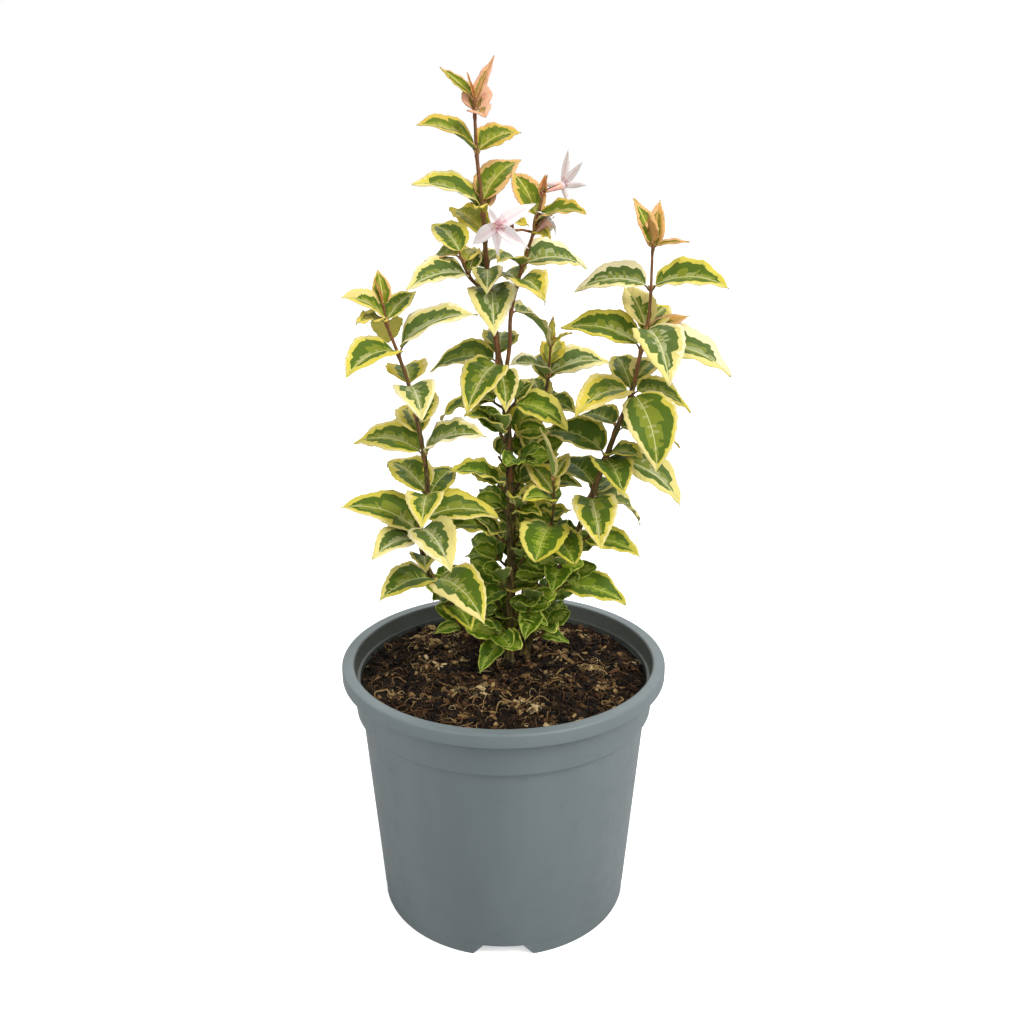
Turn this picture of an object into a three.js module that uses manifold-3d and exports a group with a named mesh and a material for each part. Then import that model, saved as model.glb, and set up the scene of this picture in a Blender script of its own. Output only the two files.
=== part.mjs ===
// A young variegated abelia shrub in its nursery pot. Millimetres, +Z up, origin on the pot's axis at the ground.
// +X is right and +Y is back, as seen from the front. Headings are in degrees from +X round to +Y, so 270 is
// the front. Lifts are in degrees above the level.
import * as THREE from 'three';
import { mergeVertices } from 'three/addons/utils/BufferGeometryUtils.js';
import Module from 'manifold-3d';

const wasm = await Module();
wasm.setup();

// Pot
const POT_SIDES = 48;
const RIM_RADIUS = 75;
const POT_HEIGHT = 121;
const LIP_INNER_RADIUS = 69.3;
const LIP_BOTTOM = 114.4;
const LIP_ROUND = 0.8;
const COLLAR_TOP_RADIUS = 70.3;
const COLLAR_FOOT_RADIUS = 69;
const COLLAR_FOOT = 98.9;
const COLLAR_INSIDE_RADIUS = 66.9;
const BODY_TOP_RADIUS = 66.5;
const BODY_TOP = 97.7;
const FOOT_RADIUS = 58.8;
const FOOT_HEIGHT = 6;
const FOOT_STEP = 0.4;
const WALL = 1.4;
const LEDGE = 114;
const LEDGE_RADIUS = 68.2;
const FLOOR_UNDER = 5.5;
const FLOOR_TOP = 7.5;
const DISC_RADIUS = 22;
const DISC_THICKNESS = 2;
const RING_WALL = 2.6;
const NOTCHES = 4;
const NOTCH_HEIGHT = 5.2;
const NOTCH_WIDTH = 27;
const NOTCH_TOP_WIDTH = 18;
const DRAIN_HOLES = 8;
const DRAIN_RADIUS = 5;
const DRAIN_CIRCLE = 40;

// Compost
const CLEAR = 0.3;
const COMPOST_LEVEL = 113;
const COMPOST_EDGE = 111.6;
const COMPOST_PLAIN_RADIUS = 28;
const COMPOST_LUMP = 0.7;

// Edges shorter than this are closed up in a fused mass
const SLIVER = 0.01;

// Leaves: shares are of the leaf's length
const PETIOLE_SHARE = 0.09;
const PETIOLE_MORE = 0.6;
const PETIOLE_RADIUS = 0.6;
const PETIOLE_FLATNESS = 0.7;
const PETIOLE_RISE = 25;
const STEEPEST = 80;
const HALF_WIDTH = 0.28;
const LEAF_THICKNESS = 0.024;
const FOLD = 21;
const DROOP = 22;
const FACE_TURN = [26, 42];
const CROWN_HEIGHT = 378;
const STATIONS = [0.08, 0.38, 0.76];
const SMALL_LEAF = 19;
const SMALL_STATIONS = [0.16, 0.62];
const WIDEST = 0.343;
const BASE_CURVE = 0.6;
const TIP_CURVE = 1.15;

// Stems and side shoots
const LIMB_SIDES = 8;
const STEM_SIDES = 6;
const TWIG_SIDES = 3;
const RINGS_PER_SPAN = 1.5;
const FLARE = 0.55;
const FLARE_HEIGHT = 5;
const TWIG_RADIUS = 0.7;
const TWIG_TAPER = 0.7;
const PAIR_GAP = 6;
const SECOND_LEAF = 0.9;
// A leaf with no room as it is drawn is turned and lifted by the first of these that gives it room
const OTHER_WAYS = [[0, 0], [25, 0], [-25, 0], [0, 25], [40, 20], [-40, 20], [70, 10], [-70, 10]];

// Each stem: the places that it passes, and its radius at its foot and at its tip
const STEMS = {
  main: {
    points: [[2.5, 8, 113.3], [3.5, 7, 165], [3, 6, 204], [1.7, 5, 232], [-1.3, 4, 254]],
    radii: [2.2, 1.45],
  },
  leader: {
    points: [[-1.3, 4, 254.3], [-5, 3, 286], [-6.6, 2.5, 297], [-8, 1, 319], [-10.3, 0, 342], [-11.2, -1, 364]],
    radii: [1.4, 0.55],
  },
  upperLeft: {
    points: [[-5, 3, 286], [-13, -4, 293.5], [-17.3, -9, 303]],
    radii: [0.8, 0.5],
  },
  flowering: {
    points: [[1.3, 2.3, 253.5], [3, -2, 267], [3.5, -6, 280], [8, -9, 298.5], [13.5, -12, 315.5],
      [15.8, -13, 326]],
    radii: [1, 0.55],
  },
  left: {
    points: [[-4, 19, 113.3], [-17, 8, 132], [-30.6, -10, 161], [-36.2, -16, 184], [-32.3, -18, 203],
      [-33.2, -19, 222], [-38.2, -20, 250], [-42.3, -20, 264], [-47, -20, 277.5], [-48, -20, 285]],
    radii: [1.6, 0.5],
  },
  right: {
    points: [[10, 14.5, 113.3], [15.3, 12, 135], [28, 6, 164.5], [39, 2, 196], [49, -2, 228], [55, -4, 245],
      [58.3, -6, 264], [61, -7, 280], [61.2, -8, 307]],
    radii: [1.9, 0.5],
  },
  middle: {
    points: [[5, 22, 113.3], [9.7, 25, 144], [11.6, 28, 178], [14.8, 31, 206.5], [18.8, 33, 233],
      [20.6, 34, 245.5], [21.8, 34, 262]],
    radii: [1.3, 0.45],
  },
  low: {
    points: [[21.1, 5.8, 151], [20.9, 2, 166.6], [21.5, 0, 183], [22.5, -4, 197], [22, -5, 208]],
    radii: [0.9, 0.45],
  },
};

// The leaves that show, each as [height of its node, heading, length, lift], and a leaf that isn't of the common
// shape also with its breadth, where 1 is common
const LEAVES = {
  leader: [
    [256, 246, 34, -3], [257, 162, 32, 12], [254.5, 280, 24, -17], [258.5, 87, 28, 36],
    [286, 273, 37, 6], [284, 90, 26, 24], [296, 126, 14, 42], [299, 66, 16, 27], [296, 273, 22, 0],
    [309, 132, 25, 45], [309, 315, 24, 33], [319, 210, 32, 42], [322, 45, 28, 60], [319, 87, 16, 57, 1.2],
    [319, 258, 14, 24], [342, 213, 28, 42], [342, 33, 22, 42], [357, 291, 14, 9, 1.3],
    [357, 72, 15, 66, 1.5], [363, 160, 17.5, 41, 0.5], [360, 30, 19.5, 68, 0.5], [362, 200, 10, 78, 0.45],
  ],
  upperLeft: [
    [293.5, 219, 30, 15], [295, 72, 15, 48], [302.5, 112, 33, 51, 1.1], [302, 135, 24, 5], [299.5, 69, 16, 32],
  ],
  flowering: [
    [280, 48, 28, -12], [291, 288, 30, 15], [291, 105, 28, 21], [298, 27, 30, 21], [298, 246, 22, 27],
    [312, 305, 11, 5], [315, 321, 24, 30], [316.5, 117, 26, 57, 0.8], [325, 60, 9, 75, 0.6],
  ],
  left: [
    [161, 231, 32, 24], [161, 309, 38, 15], [173, 273, 24, 27], [184, 183, 36, 48], [182.5, 240, 32, 21, 0.9],
    [187, 297, 34, 12], [191, 15, 34, 24], [203, 270, 28, 12], [203, 132, 30, 39], [200, 63, 26, 39],
    [221, 156, 34, 27], [221, 333, 32, 45], [229, 114, 26, 39], [233.5, 75, 22, 48], [250, 285, 30, 9],
    [250, 99, 28, 30, 1.15], [264, 237, 32, 15], [264, 342, 38, 48, 0.9], [277, 225, 24, 48], [277, 57, 21, 42, 0.85],
    [277, 231, 16, 21], [277, 96, 22, -9], [283, 110, 15, 80, 0.95], [284, 210, 10, 75, 0.45],
  ],
  right: [
    [196, 273, 34, 3], [196, 33, 33, -6], [197.5, 54, 18, 26], [201, 120, 28, 33], [214, 345, 38, 0],
    [214, 279, 30, 9], [215.5, 309, 22, 30], [216, 141, 35, 33], [228, 24, 34, 6], [229.5, 126, 24, 21],
    [245, 222, 34, 15], [245, 21, 30, 3], [245, 297, 36, -27, 1.1], [245, 105, 26, 48], [249.5, 50, 20, 39],
    [264, 168, 34, 36], [264, 351, 38, 9], [272, 282, 36, -3, 1.1], [272, 114, 25, 57], [269, 54, 24, 46],
    [266, 10, 22, 42, 0.8], [289, 159, 32, 21], [289, 333, 32, 27], [306, 150, 19.5, 72, 0.75],
    [304, 65, 20, 80, 0.7], [306, 320, 16, 14, 0.55], [307, 240, 12, 78, 0.8],
  ],
  middle: [
    [219.5, 258, 28, 14], [218, 63, 22, -15], [231, 105, 25, 42], [228, 66, 25, 31], [231, 246, 30, 9],
    [232.5, 306, 22, 18], [245, 231, 27, 39], [245, 21, 32, 30], [242, 93, 24, 45], [249.5, 75, 22, 47],
    [261, 290, 12, 80, 0.6], [258, 75, 14, 78, 0.5], [259.5, 315, 14, 39, 0.8],
  ],
  low: [
    [183, 258, 30, 12, 1.25], [180, 288, 26, 9, 1.1], [183, 126, 20, 15], [195, 228, 22, 36], [198.5, 132, 22, 51],
    [206, 63, 19, 33, 0.7], [206.5, 224, 24, 80, 0.6],
  ],
};

// Opposite side shoots up a stem: each row is [height, heading, length, lift] of the leaf under one shoot of the
// pair, and the other shoot stands across the stem. The shoots and their small leaves change in length from the
// lowest pair to the highest.
const SHOOT_RUNS = {
  main: {
    shoots: [9, 4],
    small: [15, 13],
    pairs: [
      [126, 236, 21, -8], [138, 148, 18, 10], [150, 230, 20, 10], [162, 146, 22, 15], [175, 207, 32, 39],
      [187, 126, 22, 33], [199, 216, 30, 45], [211, 140, 14, 30], [223, 222, 26, 51], [238, 156, 30, 3],
    ],
  },
  right: {
    shoots: [9, 6],
    small: [14, 14],
    pairs: [[124, 350, 15, 5], [137, 74, 22, 5], [150, 348, 32, 12], [162, 78, 24, 10], [175, 348, 27, 9]],
  },
  left: {
    shoots: [7, 6],
    small: [14, 14],
    pairs: [[130, 200, 14, 12], [146, 290, 24, 15]],
  },
  middle: {
    shoots: [7, 5],
    small: [14, 15],
    pairs: [[158, 75, 22, 5], [170, 165, 22, 10], [182, 78, 24, 15], [194, 165, 25, 20], [206, 80, 26, 25]],
  },
};

// Flowers: where the petals meet, the way that they face, where the stalk leaves its stem, the tube's length, and
// the petals as [turn round the face, length]
const FLOWERS = [
  {
    heart: [-1.4, -32, 315.8],
    faces: [245, 10],
    held: [12.4, -10.8, 312.6],
    tube: 13,
    petals: [[36, 16], [130, 10.5], [207, 15], [266, 11.5], [326, 14]],
  },
  {
    heart: [24.2, -5, 330.7],
    faces: [54, 32],
    held: [15.5, -12.8, 324.5],
    tube: 12,
    petals: [[117, 12], [153, 12.5], [197, 11], [275, 11], [2, 12]],
  },
];
const PETAL_WIDTH = 0.38;
const PETAL_SHAPE = [[0.05, 0.4], [0.35, 0.75], [0.7, 1], [0.92, 0.6]];
const PETAL_THICKNESS = 0.5;
const PETAL_ROOT = 0.9;
const PETAL_BACK = 12;
const TUBE_MOUTH = 1.5;
const TUBE_FOOT = 0.8;
const TUBE_SIDES = 6;
const SEPALS = [[-50, 10], [50, -10], [10, 45]];
const SEPAL_LENGTH = 8;

const COLOURS = { pot: 0x6e7779, compost: 0x2e241d, wood: 0x6b4a38, foliage: 0x6f8a4a };
const ROUGHNESS = { pot: 0.45, compost: 0.95, wood: 0.7, foliage: 0.6 };

const radians = (degrees) => (degrees * Math.PI) / 180;
const vec = (place) => new THREE.Vector3(...place);
const mix = (pair, share) => pair[0] + (pair[1] - pair[0]) * share;

function bearing(heading, lift) {
  const flat = Math.cos(radians(lift));
  return new THREE.Vector3(
    flat * Math.cos(radians(heading)),
    flat * Math.sin(radians(heading)),
    Math.sin(radians(lift)),
  );
}

// Seeded draws from 0 to 1
function draws(seed) {
  let state = seed;
  return () => {
    state = (state + 0x6d2b79f5) | 0;
    let t = state;
    t = Math.imul(t ^ (t >>> 15), t | 1);
    t ^= t + Math.imul(t ^ (t >>> 7), t | 61);
    return ((t ^ (t >>> 14)) >>> 0) / 4294967296;
  };
}

// A stem's centre line, and its share at a height
function stemCurve(name) {
  return new THREE.CatmullRomCurve3(STEMS[name].points.map(vec), false, 'catmullrom', 0.5);
}

function shareAtHeight(curve, height) {
  let low = 0;
  let high = 1;
  for (let i = 0; i < 30; i++) {
    const middle = (low + high) / 2;
    if (curve.getPoint(middle).z < height) low = middle;
    else high = middle;
  }
  return low;
}

function placeAtHeight(name, height) {
  const curve = stemCurve(name);
  return curve.getPoint(shareAtHeight(curve, height));
}

function radiusAtHeight(name, height) {
  return mix(STEMS[name].radii, shareAtHeight(stemCurve(name), height));
}

// A closed body from its corners and triangles
function solid(corners, triangles) {
  return new wasm.Manifold(
    new wasm.Mesh({
      numProp: 3,
      vertProperties: new Float32Array(corners.flatMap((p) => [p.x, p.y, p.z])),
      triVerts: new Uint32Array(triangles.flat()),
    }),
  );
}

function solidOfGeometry(geometry) {
  geometry.deleteAttribute('normal');
  geometry.deleteAttribute('uv');
  const merged = mergeVertices(geometry, 1e-4);
  const index = Array.from(merged.index.array);
  const triangles = [];
  for (let i = 0; i < index.length; i += 3) {
    const [a, b, c] = index.slice(i, i + 3);
    if (a !== b && b !== c && c !== a) triangles.push([a, b, c]);
  }
  const corners = [];
  for (let i = 0; i < merged.attributes.position.count; i++) {
    corners.push(new THREE.Vector3().fromBufferAttribute(merged.attributes.position, i));
  }
  return solid(corners, triangles);
}

// A body through rings of the same count, with a flat cap or a point at each end
function loft(rings, start = null, end = null) {
  const corners = rings.flat();
  const count = rings[0].length;
  const last = (rings.length - 1) * count;
  const triangles = [];
  for (let i = 0; i < last; i += count) {
    for (let k = 0; k < count; k++) {
      const a = i + k;
      const b = i + ((k + 1) % count);
      triangles.push([a, b, b + count], [a, b + count, a + count]);
    }
  }
  for (const [point, first, turned] of [[start, 0, true], [end, last, false]]) {
    const apex = point ? corners.push(point) - 1 : first;
    for (let k = point ? 0 : 1; k < (point ? count : count - 1); k++) {
      const here = first + k;
      const next = first + ((k + 1) % count);
      triangles.push(turned ? [apex, next, here] : [apex, here, next]);
    }
  }
  return solid(corners, triangles);
}

function ringRound(centre, direction, radius, sides) {
  const away = Math.abs(direction.x) > 0.9 ? new THREE.Vector3(0, 1, 0) : new THREE.Vector3(1, 0, 0);
  const side = away.addScaledVector(direction, -away.dot(direction)).normalize();
  const other = new THREE.Vector3().crossVectors(direction, side);
  return Array.from({ length: sides }, (_, k) => {
    const turn = (2 * Math.PI * k) / sides;
    return centre.clone()
      .addScaledVector(side, radius * Math.cos(turn))
      .addScaledVector(other, radius * Math.sin(turn));
  });
}

function twigSolid(from, to, radiusFrom, radiusTo, sides = TWIG_SIDES) {
  const direction = to.clone().sub(from).normalize();
  return loft([ringRound(from, direction, radiusFrom, sides), ringRound(to, direction, radiusTo, sides)]);
}

// A stem between two heights. One that stands on the compost is cut level there and has a flared foot.
function stemSolid(name, low, high, sides) {
  const curve = stemCurve(name);
  const standing = low < COMPOST_LEVEL + 1;
  const from = standing ? 0 : shareAtHeight(curve, low);
  const to = shareAtHeight(curve, high);
  const spans = STEMS[name].points.length - 1;
  const steps = Math.max(2, Math.round((to - from) * spans * RINGS_PER_SPAN));
  const shares = Array.from({ length: steps + 1 }, (_, i) => from + ((to - from) * i) / steps);
  if (standing) {
    const collar = [0.4, 1].map((part) => shareAtHeight(curve, COMPOST_LEVEL + FLARE_HEIGHT * part));
    shares.splice(1, 0, ...collar);
  }
  return loft(shares.map((share, i) => {
    const place = curve.getPoint(share);
    const rise = Math.max(0, 1 - (place.z - COMPOST_LEVEL) / FLARE_HEIGHT);
    const flare = standing ? 1 + FLARE * rise * rise : 1;
    const direction = standing && i === 0 ? new THREE.Vector3(0, 0, 1) : curve.getTangent(share);
    return ringRound(place, direction, mix(STEMS[name].radii, share) * flare, sides);
  }));
}

// A blade's half width at a share of its length, against its widest
function outline(share) {
  return ((share / WIDEST) ** BASE_CURVE) * (((1 - share) / (1 - WIDEST)) ** TIP_CURVE);
}

// A midrib starts at the leaf's lift and droops along an arc, which is straighter in a narrow leaf. The blade is
// rolled towards the front, and more so high on the plant.
function midrib(leaf, share) {
  const start = radians(leaf.lift);
  const droop = radians((DROOP + leaf.length) * Math.min(1, leaf.breadth) ** 2);
  const angle = start - droop * share;
  const level = bearing(leaf.heading, 0);
  const place = leaf.base.clone()
    .addScaledVector(level, (leaf.length * (Math.sin(start) - Math.sin(angle))) / droop);
  place.z += (leaf.length * (Math.cos(angle) - Math.cos(start))) / droop;
  const degrees = (angle * 180) / Math.PI;
  const normal = bearing(leaf.heading, degrees + 90);
  const across = bearing(leaf.heading + 90, 0);
  const high = (leaf.base.z - COMPOST_LEVEL) / (CROWN_HEIGHT - COMPOST_LEVEL);
  const roll = radians(-mix(FACE_TURN, high) * level.x);
  return {
    place,
    tangent: bearing(leaf.heading, degrees),
    face: normal.clone().multiplyScalar(Math.cos(roll)).addScaledVector(across, Math.sin(roll)),
    side: across.multiplyScalar(Math.cos(roll)).addScaledVector(normal, -Math.sin(roll)),
  };
}

// A folded blade and its petiole, which comes to a point in the middle of its twig. grow makes it stouter all
// round.
function leafSolid(leaf, grow = 0, stalked = true) {
  const fold = radians(FOLD);
  const small = leaf.length < SMALL_LEAF;
  const ring = (share, half, thick) => {
    const { place, face, side } = midrib(leaf, share);
    const raised = place.clone().addScaledVector(face, half * Math.sin(fold));
    return [
      raised.clone().addScaledVector(side, half * Math.cos(fold)),
      place.clone().addScaledVector(face, thick),
      raised.clone().addScaledVector(side, -half * Math.cos(fold)),
      place.clone().addScaledVector(face, -thick),
    ];
  };
  const blade = (small ? SMALL_STATIONS : STATIONS).map((share) => ring(
    share,
    HALF_WIDTH * leaf.breadth * leaf.length * outline(share) + grow,
    (LEAF_THICKNESS * leaf.length) / 2 + grow,
  ));
  const petiole = ring(0, PETIOLE_RADIUS + grow, PETIOLE_RADIUS * PETIOLE_FLATNESS + grow);
  const rings = stalked && !small ? [petiole, ...blade] : blade;
  const tip = midrib(leaf, 1);
  return loft(rings, stalked ? leaf.node : null, tip.place.addScaledVector(tip.tangent, grow));
}

function leafOn(node, heading, length, lift, breadth = 1) {
  const petiole = PETIOLE_SHARE * length + PETIOLE_MORE;
  const rise = Math.min(lift + PETIOLE_RISE, STEEPEST);
  const base = node.clone().addScaledVector(bearing(heading, rise), petiole);
  return { node, base, heading, length, lift, breadth };
}

// A side shoot: a lead leaf at its foot, pairs of small leaves along its twig and one leaf at its end
function sideShoot(start, heading, length, small, lead, seed) {
  const draw = draws(seed);
  const lift = 25 + 30 * draw();
  const direction = bearing(heading, lift);
  const end = start.clone().addScaledVector(direction, length);
  const leaves = [leafOn(start.clone().addScaledVector(direction, TWIG_RADIUS), heading, ...lead)];
  const pairs = Math.max(1, Math.round(length / PAIR_GAP));
  for (let k = 1; k <= pairs; k++) {
    const node = start.clone().addScaledVector(direction, (length * k) / (pairs + 0.4));
    for (const side of [-1, 1]) {
      const size = small * (0.75 + 0.45 * draw());
      const spread = 45 + 30 * draw();
      leaves.push(leafOn(node, heading + side * spread, size, lift - 15 + 30 * draw()));
    }
  }
  const size = small * (0.8 + 0.3 * draw());
  const top = end.clone().addScaledVector(direction, -TWIG_RADIUS);
  leaves.push(leafOn(top, heading + 20 * (draw() - 0.5), size, lift + 25 * draw()));
  return {
    wood: twigSolid(start, end, TWIG_RADIUS, TWIG_RADIUS * TWIG_TAPER),
    room: twigSolid(start, end, TWIG_RADIUS + CLEAR / 2, TWIG_RADIUS + CLEAR / 2),
    leaves,
  };
}

// The side shoots of a run, which start at a distance from the stem's axis
function shootsOf(stem, seed, distance) {
  const run = SHOOT_RUNS[stem];
  return run.pairs.flatMap(([height, heading, length, lift], k) => {
    const share = k / (run.pairs.length - 1);
    return [0, 180].map((across, side) => {
      const away = heading + across;
      const start = placeAtHeight(stem, height).addScaledVector(bearing(away, 0), distance(height));
      const lead = [side ? length * SECOND_LEAF : length, lift];
      return sideShoot(start, away, mix(run.shoots, share), mix(run.small, share), lead, seed + 2 * k + side);
    });
  });
}

// A petal leans back from the way that its flower faces and is widest beyond its middle
function petalSolid(heart, facing, turn, length) {
  const right = new THREE.Vector3(0, 0, 1).cross(facing).normalize();
  const up = new THREE.Vector3().crossVectors(facing, right);
  const out = right.multiplyScalar(Math.cos(radians(turn))).addScaledVector(up, Math.sin(radians(turn)));
  const side = new THREE.Vector3().crossVectors(facing, out);
  const way = out.multiplyScalar(Math.cos(radians(PETAL_BACK)))
    .addScaledVector(facing, -Math.sin(radians(PETAL_BACK)));
  const rings = PETAL_SHAPE.map(([share, width]) => {
    const place = heart.clone().addScaledVector(way, length * share);
    const half = (PETAL_WIDTH * length * width) / 2;
    return [
      place.clone().addScaledVector(side, half),
      place.clone().addScaledVector(facing, PETAL_THICKNESS / 2),
      place.clone().addScaledVector(side, -half),
      place.clone().addScaledVector(facing, -PETAL_THICKNESS / 2),
    ];
  });
  const root = heart.clone().addScaledVector(way, -PETAL_ROOT);
  return loft(rings, root, heart.clone().addScaledVector(way, length));
}

function flowerSolids({ heart, faces, held, tube, petals }) {
  const centre = vec(heart);
  const facing = bearing(...faces);
  const foot = centre.clone().addScaledVector(facing, -tube);
  const mouth = centre.clone().addScaledVector(facing, PETAL_THICKNESS);
  const inTube = foot.clone().addScaledVector(facing, TUBE_FOOT);
  return [
    twigSolid(foot, mouth, TUBE_FOOT, TUBE_MOUTH, TUBE_SIDES),
    twigSolid(vec(held), inTube, TWIG_RADIUS, TWIG_RADIUS),
    ...petals.map(([turn, length]) => petalSolid(centre, facing, turn, length)),
    ...SEPALS.map(([turn, rise]) => (
      leafSolid(leafOn(inTube, faces[0] + turn, SEPAL_LENGTH, faces[1] + rise)))),
  ];
}

// Pot
function wallRadiusInside(height) {
  if (height >= COLLAR_FOOT) return COLLAR_INSIDE_RADIUS;
  const share = (height - FLOOR_TOP) / (BODY_TOP - FLOOR_TOP);
  return mix([FOOT_RADIUS - WALL, BODY_TOP_RADIUS - WALL], share);
}

function potSolid() {
  const ringInside = FOOT_RADIUS - RING_WALL;
  const profile = [
    [0, 0], [DISC_RADIUS, 0], [DISC_RADIUS + 1, FLOOR_UNDER], [ringInside - 0.6, FLOOR_UNDER], [ringInside, 0],
    [FOOT_RADIUS, 0], [FOOT_RADIUS, FOOT_HEIGHT], [FOOT_RADIUS + FOOT_STEP, FOOT_HEIGHT],
    [BODY_TOP_RADIUS, BODY_TOP], [COLLAR_FOOT_RADIUS, COLLAR_FOOT], [COLLAR_TOP_RADIUS, LIP_BOTTOM],
    [RIM_RADIUS - LIP_ROUND, LIP_BOTTOM], [RIM_RADIUS, LIP_BOTTOM + LIP_ROUND],
    [RIM_RADIUS, POT_HEIGHT - LIP_ROUND], [RIM_RADIUS - LIP_ROUND, POT_HEIGHT],
    [LIP_INNER_RADIUS + LIP_ROUND, POT_HEIGHT], [LIP_INNER_RADIUS, POT_HEIGHT - LIP_ROUND],
    [LEDGE_RADIUS, LEDGE], [COLLAR_INSIDE_RADIUS, LEDGE], [COLLAR_INSIDE_RADIUS, COLLAR_FOOT],
    [wallRadiusInside(BODY_TOP), BODY_TOP], [wallRadiusInside(FLOOR_TOP), FLOOR_TOP],
    [DISC_RADIUS + 2, FLOOR_TOP], [DISC_RADIUS - 1, DISC_THICKNESS], [0, DISC_THICKNESS],
  ];
  const turned = new THREE.LatheGeometry(profile.map((p) => new THREE.Vector2(...p)), POT_SIDES);
  let shape = solidOfGeometry(turned.rotateX(Math.PI / 2));
  const wide = NOTCH_WIDTH / 2;
  const narrow = NOTCH_TOP_WIDTH / 2;
  for (let i = 0; i < NOTCHES; i++) {
    const out = bearing(270 + (360 * i) / NOTCHES, 0);
    const across = bearing((360 * i) / NOTCHES, 0);
    const corners = [[-wide, -1], [wide, -1], [narrow, NOTCH_HEIGHT], [-narrow, NOTCH_HEIGHT]];
    const section = (distance) => corners
      .map(([x, z]) => out.clone().multiplyScalar(distance).addScaledVector(across, x).setZ(z));
    shape = shape.subtract(loft([section(ringInside - 4), section(FOOT_RADIUS + 2)]));
  }
  for (let i = 0; i < DRAIN_HOLES; i++) {
    const hole = new THREE.CylinderGeometry(DRAIN_RADIUS, DRAIN_RADIUS, 4, 16);
    const place = bearing((360 * (i + 0.5)) / DRAIN_HOLES, 0).multiplyScalar(DRAIN_CIRCLE);
    hole.rotateX(Math.PI / 2).translate(place.x, place.y, (FLOOR_UNDER + FLOOR_TOP) / 2);
    shape = shape.subtract(solidOfGeometry(hole));
  }
  return shape;
}

// Compost: level where the stems stand, with low lumps round them
function compostSolid() {
  const draw = draws(7);
  const ring = (radius, height, lump) => Array.from({ length: POT_SIDES }, (_, k) => {
    const out = bearing(90 + (360 * k) / POT_SIDES, 0).multiplyScalar(radius);
    return out.setZ(height + lump * (draw() - 0.5));
  });
  const sides = [FLOOR_TOP + CLEAR, BODY_TOP, COLLAR_FOOT, COMPOST_EDGE]
    .map((height) => ring(wallRadiusInside(height) - CLEAR, height, 0));
  const steps = [0.12, 0.3, 0.5, 0.75].map((share) => ring(
    mix([wallRadiusInside(COMPOST_EDGE), COMPOST_PLAIN_RADIUS], share),
    mix([COMPOST_EDGE, COMPOST_LEVEL], share),
    COMPOST_LUMP,
  ));
  const plain = ring(COMPOST_PLAIN_RADIUS, COMPOST_LEVEL, 0);
  return loft([...sides, ...steps, plain]);
}

// Fusing can leave a loose scrap or a sealed pocket, which is dropped: only the largest shell is kept
function largestShell(shape) {
  const { vertProperties, triVerts } = shape.getMesh();
  const owner = Array.from({ length: vertProperties.length / 3 }, (_, i) => i);
  const find = (i) => {
    let top = i;
    while (owner[top] !== top) top = owner[top];
    owner[i] = top;
    return top;
  };
  for (let i = 0; i < triVerts.length; i += 3) {
    owner[find(triVerts[i + 1])] = find(triVerts[i]);
    owner[find(triVerts[i + 2])] = find(triVerts[i]);
  }
  const shells = new Map();
  for (let i = 0; i < triVerts.length; i += 3) {
    const shell = find(triVerts[i]);
    if (!shells.has(shell)) shells.set(shell, []);
    shells.get(shell).push(...triVerts.slice(i, i + 3));
  }
  const kept = [...shells.values()].reduce((a, b) => (b.length > a.length ? b : a));
  const places = [...new Set(kept)];
  const numbered = new Map(places.map((old, i) => [old, i]));
  return new wasm.Manifold(
    new wasm.Mesh({
      numProp: 3,
      vertProperties: new Float32Array(places.flatMap((i) => [...vertProperties.slice(3 * i, 3 * i + 3)])),
      triVerts: new Uint32Array(kept.map((i) => numbered.get(i))),
    }),
  );
}

// The part: every finished solid is kept with its box, and a new leaf has to stay clear of them
const group = new THREE.Group();
const finished = [];

function boxOf(shape) {
  return new THREE.Box3().setFromArray(shape.getMesh().vertProperties);
}

function touches(probe, solids) {
  const box = boxOf(probe);
  return solids.some((done) => done.box.intersectsBox(box)
    && probe.intersect(done.shape).getMesh().triVerts.length > 0);
}

function addNode(name, shape, look) {
  const { vertProperties, triVerts } = shape.getMesh();
  const geometry = new THREE.BufferGeometry();
  geometry.setAttribute('position', new THREE.BufferAttribute(new Float32Array(vertProperties), 3));
  geometry.setIndex(new THREE.BufferAttribute(new Uint32Array(triVerts), 1));
  const material = new THREE.MeshStandardMaterial({
    color: COLOURS[look],
    roughness: ROUGHNESS[look],
    metalness: 0,
  });
  const mesh = new THREE.Mesh(geometry, material);
  mesh.name = name;
  group.add(mesh);
  finished.push({ shape, box: boxOf(shape) });
}

// A mass of foliage: its wood, and each leaf that has room beside the finished solids and the mass's own blades
function addMass(name, woods, leaves) {
  const blades = [];
  const hasRoom = (leaf) => !touches(leafSolid(leaf, CLEAR), finished)
    && !touches(leafSolid(leaf, 0, false), blades);
  let shape = woods.reduce((whole, wood) => whole.add(wood));
  for (const { node, heading, length, lift, breadth } of leaves) {
    const placed = OTHER_WAYS
      .map(([turn, rise]) => (
        leafOn(node, heading + turn, length, Math.min(lift + rise, STEEPEST), breadth)))
      .find(hasRoom);
    if (!placed) continue;
    const blade = leafSolid(placed, 0, false);
    blades.push({ shape: blade, box: boxOf(blade) });
    shape = shape.add(leafSolid(placed));
  }
  if (blades.length > 0) addNode(name, largestShell(shape).simplify(SLIVER), 'foliage');
}

function leavesOn(stem) {
  return LEAVES[stem].map(([height, heading, length, lift, breadth]) => (
    leafOn(placeAtHeight(stem, height), heading, length, lift, breadth)));
}

addNode('pot', potSolid(), 'pot');
addNode('compost', compostSolid(), 'compost');

// Each limb stands on the compost and ends just under the mass that goes on from it
const STEM_FOOT = COMPOST_LEVEL + CLEAR;
const LIMB_TOPS = { main: 254, left: 157, right: 183, middle: 150 };
for (const [stem, top] of Object.entries(LIMB_TOPS)) {
  addNode(`${stem}_stem`, stemSolid(stem, STEM_FOOT, top, LIMB_SIDES), 'wood');
}

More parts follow.
